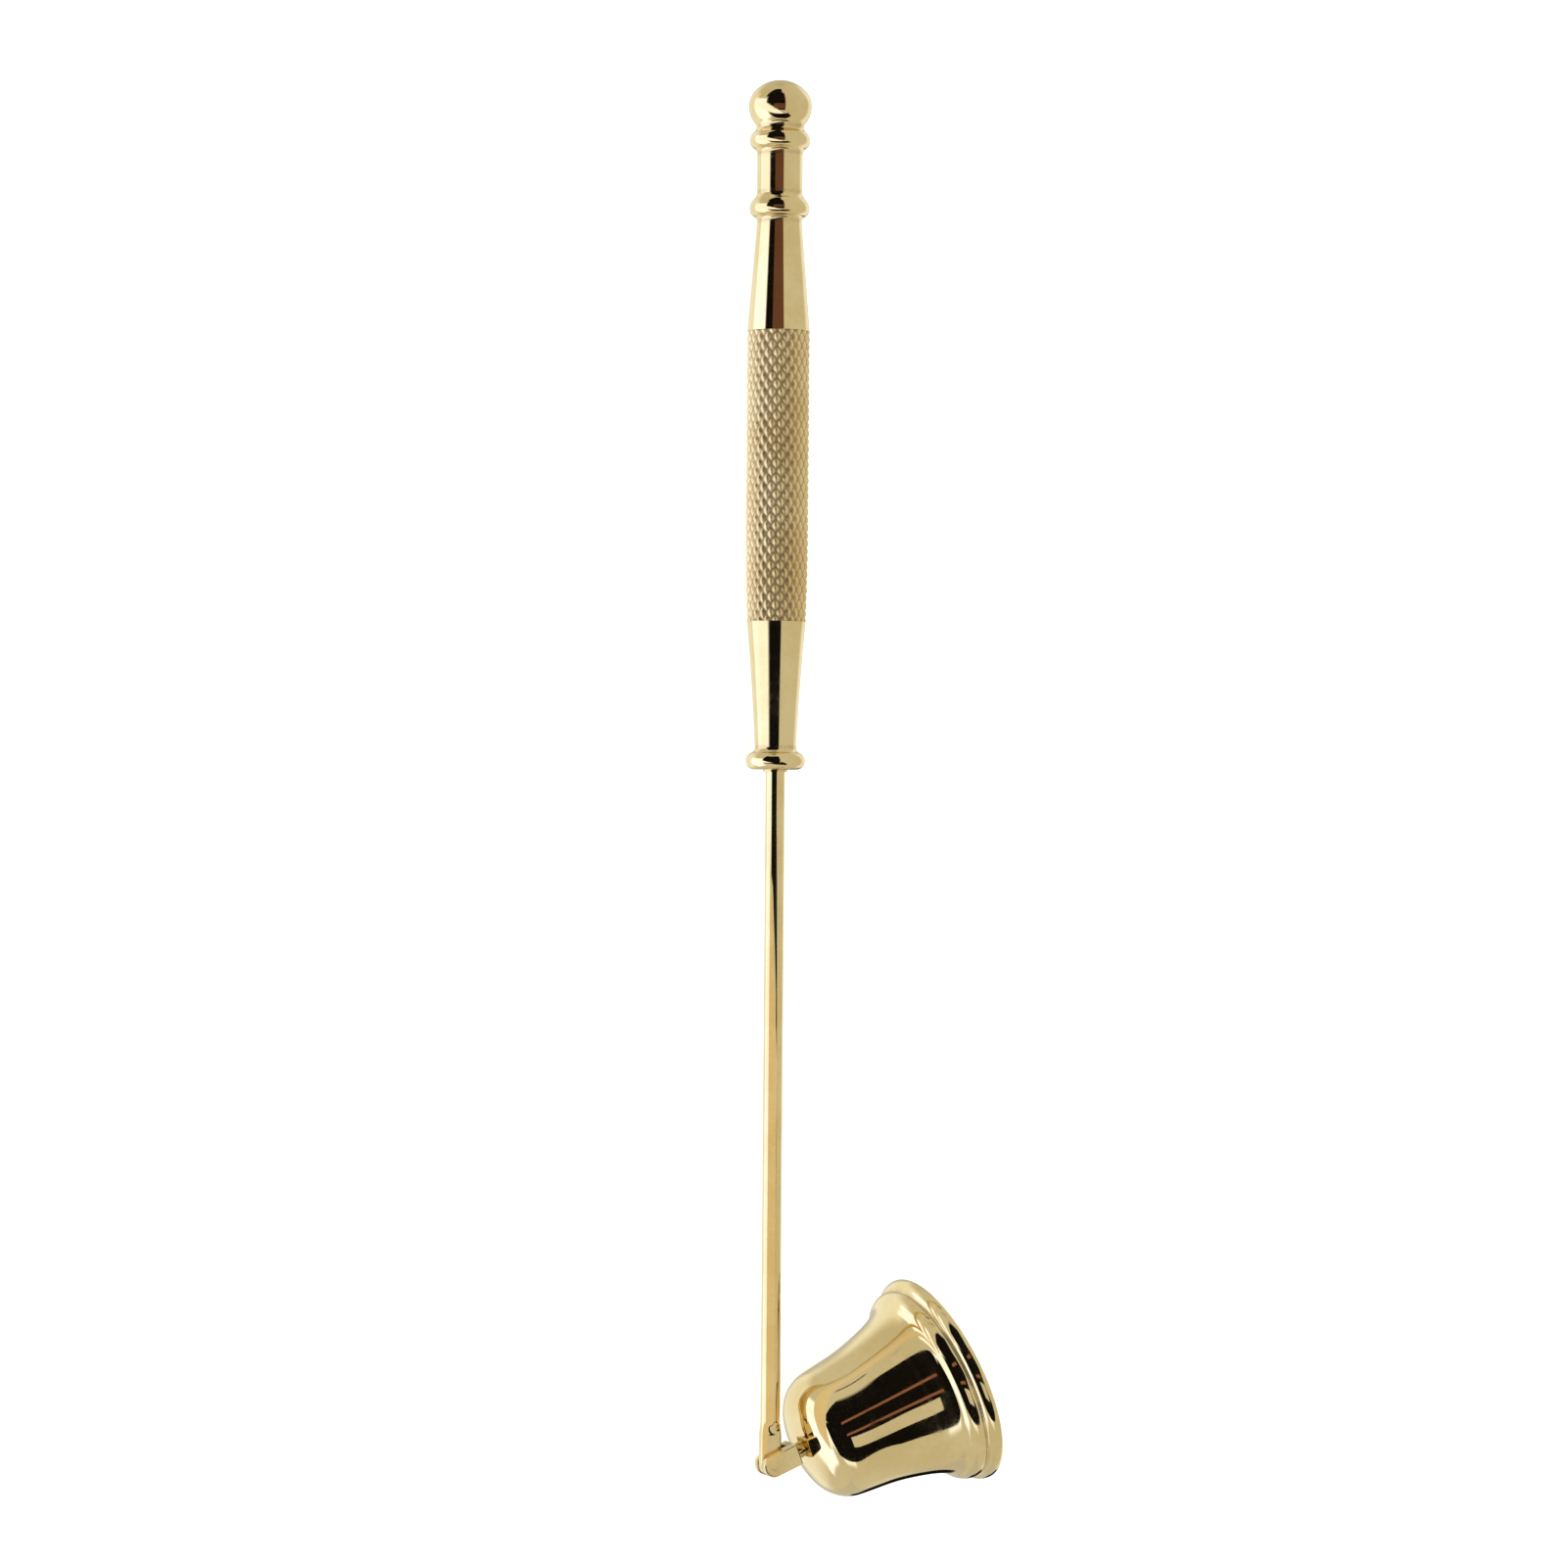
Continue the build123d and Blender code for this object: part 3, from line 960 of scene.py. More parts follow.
@dataclass
class Bell:
    """The bell: crown, shoulder, flared barrel, lip, groove and a round ring at the mouth."""

    crown_at: float
    length: float = 27.7 * MM
    wall: float = 1.0 * MM
    crown_radius: float = 20.0 * MM
    shoulder_radius: float = 6.0 * MM
    barrel_radius: float = 10.65 * MM
    barrel_slope: float = math.radians(9)
    lip_radius: float = 16.4 * MM
    lip_round: float = 2.4 * MM
    lip_slope: float = math.radians(58)
    groove_radius: float = 16.3 * MM
    groove_run: float = 0.35 * MM
    ring_radius: float = 17.5 * MM
    ring_front: float = 1.85 * MM
    ring_round: float = 0.7 * MM
    mouth_radius: float = 15.6 * MM
    mouth_edge: float = 0.2 * MM
    land_radius: float = 3.4 * MM
    hole_radius: float = 1.01 * MM
    run_shares: tuple[float, ...] = (0.35, 0.7, 0.9)
    rise_shares: tuple[float, ...] = (0.155, 0.445, 0.715)
    groove_share: float = 0.5
    ring_share: float = 0.1
    around: int = 216

    @property
    def groove_at(self) -> float:
        """Place of the groove behind the mouth's ring."""
        return self.crown_at + self.length - self.ring_round - self.ring_front

    @property
    def land_at(self) -> float:
        """Place of the flat land inside the crown."""
        inner = self.crown_radius - self.wall
        return self.crown_at + self.crown_radius - math.sqrt(inner**2 - self.land_radius**2)

    def outline(self) -> Outline:
        """Draw half a section of the shell, from the stud's hole round the mouth and back inside.

        Returns:
            The outline.
        """
        crown_centre = self.crown_at + self.crown_radius
        shoulder_ring = self.barrel_radius - self.shoulder_radius * math.cos(self.barrel_slope)
        turn = math.asin(shoulder_ring / (self.crown_radius - self.shoulder_radius))
        shoulder_depth = self.crown_radius - (self.crown_radius - self.shoulder_radius) * math.cos(turn)
        barrel_depth = shoulder_depth - self.shoulder_radius * math.sin(self.barrel_slope)
        hole_turn = math.asin(self.hole_radius / self.crown_radius)
        hole_at = crown_centre - self.crown_radius * math.cos(hole_turn)
        line = Outline(self.hole_radius, hole_at)
        edge = (self.crown_radius * math.sin(turn), crown_centre - self.crown_radius * math.cos(turn))
        line.arc(*edge, (math.cos(hole_turn), math.sin(hole_turn)), steps=16)
        barrel_at = self.crown_at + barrel_depth
        line.arc(self.barrel_radius, barrel_at, (math.cos(turn), math.sin(turn)), steps=40)
        lip_way = (math.sin(self.lip_slope), math.cos(self.lip_slope))
        crest_at = self.groove_at - self.groove_run
        lip = (self.lip_radius - self.lip_round * (1 - lip_way[1]), crest_at - self.lip_round * lip_way[0])
        run, rise = lip[1] - barrel_at, lip[0] - self.barrel_radius
        flare = [
            (self.barrel_radius + rise * up, barrel_at + run * along)
            for up, along in zip(self.rise_shares, self.run_shares)
        ]
        barrel_way = (math.sin(self.barrel_slope), math.cos(self.barrel_slope))
        line.spline([*flare, lip], barrel_way, lip_way, steps=16)
        outer = len(line.runs)
        line.arc(self.lip_radius, crest_at, lip_way, steps=16)
        line.swell(self.groove_radius, self.groove_at, self.groove_share)
        line.swell(self.ring_radius, self.groove_at + self.ring_front, self.ring_share)
        mouth_at = self.crown_at + self.length
        line.arc(self.ring_radius - self.ring_round, mouth_at, (0.0, 1.0), steps=10)
        line.line(self.mouth_radius + self.mouth_edge, mouth_at)
        line.line(self.mouth_radius, mouth_at - self.mouth_edge)
        line.lining = len(line.runs)
        inner = (lip[0] - self.wall * lip_way[1], lip[1] + self.wall * lip_way[0])
        bore_run = (self.mouth_radius - inner[0]) * lip_way[1] / lip_way[0]
        line.line(self.mouth_radius, inner[1] + bore_run)
        line.back_inside(1, outer, self.wall)
        line.arc(self.land_radius, self.land_at, (-math.cos(turn), -math.sin(turn)), steps=12)
        return line.line(self.hole_radius, self.land_at).line(self.hole_radius, hole_at)

    def build(self, pin: Vector, mouth: Vector, side: Vector) -> bpy.types.Object:
        """Turn the shell about the bell's axis.

        Args:
            pin: Place of the hinge pin.
            mouth: Direction of the bell's axis.
            side: A direction square to it.

        Returns:
            The bell's object.
        """
        return turned_mesh("bell_shell", self.outline(), Turning(pin, mouth, side), self.around)


@dataclass
class Hinge:
    """The fork that straddles the rod, its neck and stud, and the rivet through it."""

    stud_end: float
    height: float = 3.6 * MM
    depth: float = 4.3 * MM
    length: float = 4.7 * MM
    slot_length: float = 3.4 * MM
    slot_width: float = 1.6 * MM
    edge_radius: float = 0.3 * MM
    hole_radius: float = 0.76 * MM
    pin_radius: float = 0.75 * MM
    pin_dome: float = 0.02 * MM
    neck_radius: float = 1.3 * MM
    neck_end: float = 5.6 * MM
    stud_radius: float = 1.0 * MM
    overrun: float = 1.0 * MM
    round_steps: int = 24
    edge_steps: int = 6

    def _side_view(self, inset: float) -> list[Point]:
        """Draw a cheek as it looks along the pin.

        Args:
            inset: How far the whole outline is pulled in.

        Returns:
            Points across the bell's axis and along it.
        """
        reach, top = self.height / 2 - inset, self.length - inset
        corner = max(self.edge_radius - inset, self.edge_radius / self.edge_steps)
        arcs = (
            (reach - corner, top - corner, corner, math.pi / 2, 0.0, self.edge_steps),
            (0.0, 0.0, reach, 0.0, -math.pi, self.round_steps),
            (corner - reach, top - corner, corner, math.pi, math.pi / 2, self.edge_steps),
        )
        view: list[Point] = []
        for x, y, radius, start, end, steps in arcs:
            for step in range(steps + 1):
                turn = start + (end - start) * step / steps
                view.append((x + radius * math.cos(turn), y + radius * math.sin(turn)))
        return view

    def build_fork(self, pin: Vector, mouth: Vector, pin_axis: Vector) -> bpy.types.Object:
        """Make the fork: a rounded block with neck and stud, cut by the slot and the pin's hole.

        Args:
            pin: Place of the hinge pin.
            mouth: Direction of the bell's axis.
            pin_axis: Direction of the pin.

        Returns:
            The fork's object.
        """
        across, half = mouth.cross(pin_axis), self.depth / 2
        levels = []
        for step in range(self.edge_steps + 1):
            turn = math.pi / 2 * step / self.edge_steps
            inset = self.edge_radius * (1 - math.cos(turn))
            levels.append((half - self.edge_radius * (1 - math.sin(turn)), inset))
        rings = []
        for level, inset in [(-level, inset) for level, inset in levels[::-1]] + levels:
            view = self._side_view(inset)
            rings.append([pin + across * x + mouth * y + pin_axis * level for x, y in view])
        piece = surface_object("hinge_yoke", loft_mesh("hinge_yoke", rings))
        neck = circle_bar(pin, mouth, self.neck_radius, self.length - self.overrun, self.neck_end, count=64)
        cut_with(piece, neck, "UNION")
        stud = circle_bar(pin, mouth, self.stud_radius, self.length, self.stud_end)
        cut_with(piece, stud, "UNION")
        slot = []
        for level in (-self.slot_width / 2, self.slot_width / 2):
            low, high = -self.height, self.slot_length
            corners = ((-self.height, low), (self.height, low), (self.height, high), (-self.height, high))
            slot.append([pin + across * x + mouth * y + pin_axis * level for x, y in corners])
        cut_with(piece, surface_object("slot_tool", loft_mesh("slot_tool", slot)), "DIFFERENCE")
        drill = circle_bar(pin, pin_axis, self.hole_radius, -self.depth, self.depth)
        cut_with(piece, drill, "DIFFERENCE")
        return even_shading(piece)

    def build_pin(self, pin: Vector, pin_axis: Vector) -> bpy.types.Object:
        """Turn the rivet, with a shallow dome at each end.

        Args:
            pin: Place of the hinge pin.
            pin_axis: Direction of the pin.

        Returns:
            The rivet's object.
        """
        half = self.depth / 2
        lean = 2 * math.atan2(self.pin_dome, self.pin_radius)
        line = Outline(0.0, -half)
        line.arc(self.pin_radius, self.pin_dome - half, (1.0, 0.0), steps=8)
        line.line(self.pin_radius, half - self.pin_dome)
        line.arc(0.0, half, (-math.cos(lean), math.sin(lean)), steps=8)
        return turned_mesh("hinge_rivet", line, Turning(pin, pin_axis, Vector((0, 1, 0))), count=48)


class Marks(Enum):
    """Which way the fine tool marks of a piece run."""

    ROUND = "round the axis"
    ALONG = "along the axis"
    CROSSED = "all ways"


class Effects:
    """Node groups that several materials share. Each is built once and gives colours or masks."""

    SOCKETS = {"value": "NodeSocketFloat", "place": "NodeSocketVector", "tone": "NodeSocketColor"}
    GRAIN_FINENESS = 14.0
    GRAIN_SHARE = 0.2
    BROAD_MARK_WEIGHT = 0.6
    # Turn and stretch of the two layers of scratches
    SCRATCH_LAYERS = ((0.5, 0.16), (-0.9, 0.12))

    def __init__(self) -> None:
        """Build every group."""
        self.clouds = self._clouds()
        self.tool_marks = self._tool_marks()
        self.hairlines = self._hairlines()
        self.smudges = self._smudges()
        self.recess = self._recess()

    def _group(
        self, name: str, inputs: dict[str, str], outputs: dict[str, str]
    ) -> tuple[Graph, bpy.types.bpy_prop_collection, bpy.types.bpy_prop_collection]:
        """Start a group.

        Args:
            name: Name of the group.
            inputs: Kind of each input by name.
            outputs: Kind of each output by name.

        Returns:
            The graph inside it, its inputs and the sockets of its outputs.
        """
        tree = bpy.data.node_groups.new(name, "ShaderNodeTree")
        for way, table in (("INPUT", inputs), ("OUTPUT", outputs)):
            for label, kind in table.items():
                tree.interface.new_socket(label, in_out=way, socket_type=self.SOCKETS[kind])
        graph = Graph(tree)
        return graph, graph.node("NodeGroupInput", {}).outputs, graph.node("NodeGroupOutput", {}).inputs

    def _clouds(self) -> bpy.types.ShaderNodeTree:
        """Build slow changes between two tones, with a fine grain in them.

        Returns:
            The group, which gives the tone.
        """
        kinds = {"Place": "place", "Size": "value", "Bright": "tone", "Deep": "tone"}
        graph, given, result = self._group("plate_clouds", kinds, {"Tone": "tone"})
        scale = graph.math("DIVIDE", 1.0, given["Size"])
        fine = graph.math("MULTIPLY", scale, self.GRAIN_FINENESS)
        wide = graph.noise(given["Place"], scale, detail=3.0, roughness=0.55)
        grain = graph.noise(given["Place"], fine, detail=2.0, roughness=0.6)
        most = graph.math("MULTIPLY", wide, 1 - self.GRAIN_SHARE)
        both = graph.math("ADD", most, graph.math("MULTIPLY", grain, self.GRAIN_SHARE))
        patch = graph.between(both, low=0.38, high=0.62)
        graph.put(result["Tone"], graph.mix(patch, given["Bright"], given["Deep"]))
        return graph.tree

    def _tool_marks(self) -> bpy.types.ShaderNodeTree:
        """Build the fine lines left by a tool, on places that are stretched along the lines.

        Returns:
            The group, which gives the lines' height and broader, duller streaks.
        """
        outputs = {"Height": "value", "Streak": "value"}
        graph, given, result = self._group("tool_marks", {"Stretched": "place"}, outputs)
        fine = graph.noise(given["Stretched"], scale=1.0, detail=4.0, roughness=0.65)
        broad = graph.noise(given["Stretched"], scale=0.23, detail=2.0, roughness=0.5)
        graph.put(result["Height"], graph.math("MULTIPLY_ADD", broad, self.BROAD_MARK_WEIGHT, fine))
        graph.put(result["Streak"], graph.between(broad, low=0.52, high=0.7))
        return graph.tree

    def _hairlines(self) -> bpy.types.ShaderNodeTree:
        """Build thin scratches from handling, in loose patches.

        Returns:
            The group, which is 1 on a scratch.
        """
        graph, given, result = self._group("hairlines", {"Place": "place"}, {"Line": "value"})
        bend = graph.node("ShaderNodeTexNoise", {"Vector": given["Place"], "Scale": 0.35, "Detail": 1.0})
        lines = []
        for turn, stretch in self.SCRATCH_LAYERS:
            bent = graph.node(
                "ShaderNodeVectorMath", {0: bend.outputs["Color"], 1: given["Place"]}, operation="ADD"
            ).outputs[0]
            laid = graph.node(
                "ShaderNodeMapping",
                {"Vector": bent, "Rotation": (turn, turn / 2, turn), "Scale": (stretch, 1.0, 1.0)},
            ).outputs[0]
            cells = graph.node(
                "ShaderNodeTexVoronoi", {"Vector": laid, "Scale": 0.8}, feature="DISTANCE_TO_EDGE"
            ).outputs["Distance"]
            lines.append(graph.between(cells, low=0.012, high=0.0))
        loose = graph.noise(given["Place"], scale=0.22, detail=2.0, roughness=0.5)
        patch = graph.between(loose, low=0.5, high=0.62)
        graph.put(result["Line"], graph.math("MULTIPLY", graph.math("MAXIMUM", *lines), patch))
        return graph.tree

    def _smudges(self) -> bpy.types.ShaderNodeTree:
        """Build the dull places where fingers touched the plate.

        Returns:
            The group, which is 1 where the plate is dull.
        """
        graph, given, result = self._group("smudges", {"Place": "place"}, {"Smudge": "value"})
        wide = graph.noise(given["Place"], scale=0.13, detail=4.0, roughness=0.6)
        ridges = graph.noise(given["Place"], scale=2.1, detail=1.0, roughness=0.4)
        touched = graph.between(wide, low=0.5, high=0.68)
        print_lines = graph.between(ridges, low=0.2, high=0.6)
        graph.put(result["Smudge"], graph.math("MULTIPLY", touched, print_lines))
        return graph.tree

    def _recess(self) -> bpy.types.ShaderNodeTree:
        """Build dirt and painted shade beside a groove round the piece, broken up a little.

        Returns:
            The group, which is 1 in the groove and 0 out of its reach.
        """
        kinds = {"Place": "place", "Along": "value", "Groove": "value", "Reach": "value"}
        graph, given, result = self._group("recess_dirt_and_shade", kinds, {"Dirt And Shade": "value"})
        off = graph.math("ABSOLUTE", graph.math("SUBTRACT", given["Along"], given["Groove"]))
        near = graph.between(graph.math("DIVIDE", off, given["Reach"]), low=1.0, high=0.15)
        broken = graph.noise(given["Place"], scale=0.8, detail=4.0, roughness=0.6)
        uneven = graph.between(broken, low=0.25, high=0.6)
        graph.put(result["Dirt And Shade"], graph.math("MULTIPLY", near, uneven))
        return graph.tree


@dataclass(frozen=True)
class Finish:
    """How a plated or plain metal piece looks, with lengths in millimetres."""

    name: str
    bright: Colour = (0.83, 0.70, 0.42)
    deep: Colour = (0.77, 0.62, 0.34)
    # Colour mixed into grooves, knurl valleys and the fork's slot: dirt and painted shade in one
    dirt_and_shade: Colour = (0.2, 0.1, 0.03)
    cloud_size: float = 9.0
    polish: float = 0.045
    dull: float = 0.09
    streak: float = 0.05
    marks: Marks = Marks.ROUND
    mark_gap: float = 0.3
    mark_height: float = 0.0001
    scratch: float = 0.3
    # How strongly and how far round a groove the dirt and painted shade go
    dirt_and_shade_amount: float = 0.25
    dirt_and_shade_reach: float = 0.5


# One finish for each piece or kind of metal
POLISHED_HANDLE = Finish("polished_handle")
# The knurl's valleys are darkened with dirt and painted shade; its crests keep the plate's tone
KNURLED_GRIP = Finish(
    "knurled_grip", bright=(0.86, 0.70, 0.42), deep=(0.78, 0.60, 0.32), dirt_and_shade=(0.40, 0.26, 0.10),
    polish=0.42, dull=0.08, mark_gap=0.16, mark_height=0.0015, marks=Marks.CROSSED, dirt_and_shade_amount=0.6,
)
POLISHED_BALL = Finish("polished_ball", cloud_size=6.0, polish=0.04)
DRAWN_ROD = Finish("drawn_rod", polish=0.06, marks=Marks.ALONG, mark_gap=0.14)
# The fork's middle, round its slot, is darkened strongly: painted shade with some dirt
MILLED_FORK = Finish(
    "milled_fork", polish=0.1, dull=0.06, marks=Marks.CROSSED, mark_gap=0.22, mark_height=0.0003,
    dirt_and_shade_amount=0.9, dirt_and_shade_reach=1.6,
)
RIVET_HEAD = Finish("rivet_head", polish=0.12, mark_gap=0.12)
SPUN_BELL = Finish("spun_bell", cloud_size=12.0, polish=0.04, mark_gap=0.34)
BELL_LINING = Finish(
    "bell_lining", bright=(0.78, 0.61, 0.32), polish=0.2, dull=0.14, mark_gap=0.26, mark_height=0.0016
)
SPRING_STEEL = Finish(
    "spring_steel", bright=(0.56, 0.57, 0.58), deep=(0.42, 0.43, 0.45), dirt_and_shade=(0.10, 0.09, 0.08), polish=0.24
)
TURNED_BRASS = Finish("turned_brass", bright=(0.78, 0.58, 0.24), deep=(0.66, 0.46, 0.17), polish=0.16)


@dataclass
class Metal:
    """Makes the metal materials, each laid out about its own piece's axis."""

    effects: Effects
    mark_length: float = 60.0
    scratch_dullness: float = 0.1
    dirt_dullness: float = 0.35
    dark_valley: float = 0.02
    bright_crest: float = 0.42

    def _laid(self, graph: Graph, turning: Turning) -> tuple[Socket, Socket, Socket]:
        """Lay a piece out in millimetres about its own axis.

        Args:
            graph: Graph of the material.
            turning: Axis of the piece.

        Returns:
            The place, its distance from the axis and its distance along it.
        """
        place = graph.node(
            "ShaderNodeMapping",
            {
                "Vector": graph.node("ShaderNodeTexCoord", {}).outputs["Object"],
                "Location": turning.origin,
                "Rotation": turning.matrix().to_euler(),
                "Scale": (MM, MM, MM),
            },
            vector_type="TEXTURE",
        ).outputs[0]
        x, y, along = graph.node("ShaderNodeSeparateXYZ", {0: place}).outputs
        squares = graph.math("ADD", graph.math("MULTIPLY", x, x), graph.math("MULTIPLY", y, y))
        return place, graph.math("SQRT", squares), along

    def _stretched(
        self, graph: Graph, finish: Finish, place: Socket, reach: Socket, along: Socket
    ) -> Socket:
        """Stretch places along the tool marks, one unit across for each line.

        Args:
            graph: Graph of the material.
            finish: How the piece looks.
            place: Place on the piece.
            reach: Its distance from the axis.
            along: Its distance along the axis.

        Returns:
            The stretched place.
        """
        fine, long = 1 / finish.mark_gap, 1 / (finish.mark_gap * self.mark_length)
        x, y, _ = graph.node("ShaderNodeSeparateXYZ", {0: place}).outputs
        lines, scale = place, (fine, fine, fine)
        if finish.marks is Marks.ROUND:
            lines = graph.point(reach, graph.math("DIVIDE", x, self.mark_length), along)
        elif finish.marks is Marks.ALONG:
            lines, scale = graph.point(x, y, along), (fine, fine, long)
        return graph.node("ShaderNodeMapping", {"Vector": lines, "Scale": scale}).outputs[0]

    def _dirt_and_shade(
        self, graph: Graph, finish: Finish, place: Socket, along: Socket, grooves: Sequence[float]
    ) -> list[Socket]:
        """Mask the grooves round a piece, where dirt and painted shade go.

        Args:
            graph: Graph of the material.
            finish: How the piece looks.
            place: Place on the piece.
            along: Its distance along the axis.
            grooves: Places of the grooves along the axis, in metres.

        Returns:
            A mask for each groove.
        """
        fixed = {"Place": place, "Along": along, "Reach": finish.dirt_and_shade_reach}
        bands = [graph.group(self.effects.recess, {**fixed, "Groove": groove / MM}) for groove in grooves]
        return [band["Dirt And Shade"] for band in bands]

    def build(
        self, finish: Finish, turning: Turning, grooves: Sequence[float] = (), crest: bool = False
    ) -> bpy.types.Material:
        """Make a metal.

        Args:
            finish: How it looks.
            turning: Axis of the piece.
            grooves: Places along the axis where dirt and painted shade darken the piece, in metres.
            crest: Whether the valleys between the crests are darkened with dirt and painted shade.

        Returns:
            The material.
        """
        material = bpy.data.materials.new(finish.name)
        material.use_nodes = True
        graph = Graph(material.node_tree)
        shader = material.node_tree.nodes["Principled BSDF"]
        place, reach, along = self._laid(graph, turning)
        tones = {"Bright": (*finish.bright, 1), "Deep": (*finish.deep, 1)}
        clouds = graph.group(self.effects.clouds, {"Place": place, "Size": finish.cloud_size, **tones})
        smudge = graph.group(self.effects.smudges, {"Place": place})["Smudge"]
        line = graph.group(self.effects.hairlines, {"Place": place})["Line"]
        stretched = self._stretched(graph, finish, place, reach, along)
        marks = graph.group(self.effects.tool_marks, {"Stretched": stretched})
        rough = graph.math("MULTIPLY_ADD", smudge, finish.dull, finish.polish)
        rough = graph.math("MULTIPLY_ADD", marks["Streak"], finish.streak, rough)
        rough = graph.math("MULTIPLY_ADD", line, self.scratch_dullness, rough)
        tone = clouds["Tone"]
        masks = self._dirt_and_shade(graph, finish, place, along, grooves)
        if crest:
            height = graph.node("ShaderNodeAttribute", {}, attribute_name=CREST).outputs["Fac"]
            masks.append(graph.between(height, low=self.bright_crest, high=self.dark_valley))
        # Grooves and knurl valleys darken towards one colour, dirt with painted shade, and turn duller
        for mask in masks:
            dirt_and_shade = graph.math("MULTIPLY", mask, finish.dirt_and_shade_amount)
            tone = graph.mix(dirt_and_shade, tone, (*finish.dirt_and_shade, 1))
            rough = graph.math("MULTIPLY_ADD", dirt_and_shade, self.dirt_dullness, rough)
        scratched = graph.math("MULTIPLY", line, finish.scratch)
        bump = graph.node(
            "ShaderNodeBump",
            {
                "Height": graph.math("SUBTRACT", marks["Height"], scratched),
                "Distance": finish.mark_height * MM,
            },
        )
        graph.put(shader.inputs["Base Color"], tone)
        graph.put(shader.inputs["Roughness"], rough)
        graph.put(shader.inputs["Normal"], bump.outputs["Normal"])
        shader.inputs["Metallic"].default_value = 1.0
        return material


@dataclass(frozen=True)
class Camera:
    """The photograph's camera."""

    distance: float = 700 * MM
    focal: float = 100.89
    sensor: float = 36.0
    near: float = 10 * MM
    azimuth: float = math.radians(38.68)
    roll: float = math.radians(0.45)
    aim_side: float = 1.4 * MM
    aim_up: float = 108.41 * MM

    @property
    def back(self) -> Vector:
        """Direction from the snuffer to the camera."""
        return Vector((-math.cos(self.azimuth), 0, math.sin(self.azimuth)))

    @property
    def right(self) -> Vector:
        """Direction that points right in the picture."""
        return Vector((math.sin(self.azimuth), 0, math.cos(self.azimuth)))

    @property
    def axes(self) -> Matrix:
        """Matrix with the picture's right, up and back as its columns."""
        return Matrix((self.right, Vector((0, 1, 0)), self.back)).transposed()

    def build(self, pin: Vector) -> None:
        """Add the camera, aimed beside the middle of the snuffer.

        Args:
            pin: Place of the hinge pin.
        """
        aim = pin + self.axes @ Vector((self.aim_side, self.aim_up, 0))
        data = bpy.data.cameras.new("camera")
        data.lens = self.focal
        data.sensor_width = self.sensor
        data.clip_start = self.near
        camera = bpy.data.objects.new("camera", data)
        turned = self.axes @ Matrix.Rotation(self.roll, 3, "Z")
        camera.matrix_world = Matrix.Translation(aim + self.back * self.distance) @ turned.to_4x4()
        bpy.context.scene.collection.objects.link(camera)
        bpy.context.scene.camera = camera


@dataclass(frozen=True)
class Panel:
    """A soft-edged part of the room, in degrees round the handle and up along it.

    Its sides lean to the right as they go down.
    """

    tone: Colour
    left: float
    right: float
    low: float
    high: float
    lean: float = 0.0
    soft: float = 6.0


@dataclass(frozen=True)
class Card:
    """A flat card that only the polished metal sees.

    It lies parallel to the picture. Its corners are in degrees, as they look from a place
    that is so many millimetres to the right of the pin and above it in the picture.
    """

    name: str
    tone: Colour
    seen_from: Point
    distance: float
    corners: tuple[Point, ...]

    def places(self) -> list[Vector]:
        """Work out the card's corners.

        Returns:
            Places in the picture's own directions, in metres from the pin.
        """
        made = []
        for turn, rise in self.corners:
            across = self.distance * math.tan(math.radians(turn))
            up = math.hypot(self.distance, across) * math.tan(math.radians(rise))
            made.append(Vector((self.seen_from[0] + across, self.seen_from[1] + up, self.distance)) * MM)
        return made


# Tones of the room, as the metal mirrors them
ROOM_TONE = (0.70, 0.66, 0.53)
SOFT_WHITE = (1.45, 1.55, 1.9)
CREAM = (1.05, 1.05, 0.95)
PALE = (1.35, 1.42, 1.6)
TAN = (0.85, 0.70, 0.45)
DUSK = (0.62, 0.60, 0.52)
NIGHT = (0.006, 0.005, 0.005)
BROWN = (0.15, 0.066, 0.04)
RUSSET = (0.30, 0.13, 0.08)
# Each panel covers the ones before it
PANELS = (
    Panel(CREAM, -200, -100, -40, 40, soft=20),
    Panel(CREAM, 125, 200, -40, 40, soft=20),
    Panel(DUSK, -200, -160, -90, 90, soft=16),
    Panel(DUSK, 160, 200, -90, 90, soft=16),
    Panel(SOFT_WHITE, -112, -53, -56, 26, soft=9),
    Panel(NIGHT, -52, 19, -28, 58),
    Panel(PALE, -88, -43, -60, 10, lean=1.26, soft=12),
    Panel(NIGHT, 161, 178, -38, -17, soft=3),
)
# Where the cards' corners are seen from: millimetres to the right of the pin and above it
AT_BALL = (0, 216)
AT_BEADS = (0, 200)
AT_ROD = (0, 40)
AT_BELL = (14, 6)
# What stands near the snuffer: dark and pale things that only its reflections show
CARDS = (
    Card("card_above", NIGHT, AT_BALL, 30, ((-58, 32), (9, 32), (9, 82), (-58, 76))),
    Card("brown_card", BROWN, AT_BEADS, 60, ((-23, -5), (18, -5), (18, 16), (-23, 16))),
    Card("card_by_rod", TAN, AT_ROD, 7, ((-51, -74.5), (42, -76.8), (42, 68), (-51, 79.5))),
    Card(
        "card_by_bell", NIGHT, AT_BELL, 200,
        (
            (-53, 3), (-49, -10), (-45, -24), (-35, -44), (8, -53), (40, -47), (51, -41), (55, -30),
            (50, -19), (39, -11), (36, 3),
        ),
    ),
    Card(
        "card_beside_bell", NIGHT, AT_BELL, 80,
        ((10, -3), (38, -3), (44, 18), (34, 34), (22, 45), (10, 50)),
    ),
    Card(
        "pale_card_by_bell", ROOM_TONE, AT_BELL, 30,
        ((-57, 6), (-49.5, 12), (-43, 24), (-27, 46), (-10, 59.5), (4, 62), (4, 66), (-38, 66), (-57, 58)),
    ),
    Card("pale_bar", ROOM_TONE, AT_BELL, 79, ((11, -8), (18, -24), (42, -19), (38, -1), (24, -3.5))),
    Card("low_line", RUSSET, AT_BELL, 79, ((1, -7.5), (14, -1.5), (30, 4), (30, 8), (14, 2.5), (1, -3.5))),
    Card("high_line", RUSSET, AT_BELL, 79, ((-9, 11), (22, 25), (22, 29), (-9, 15))),
)


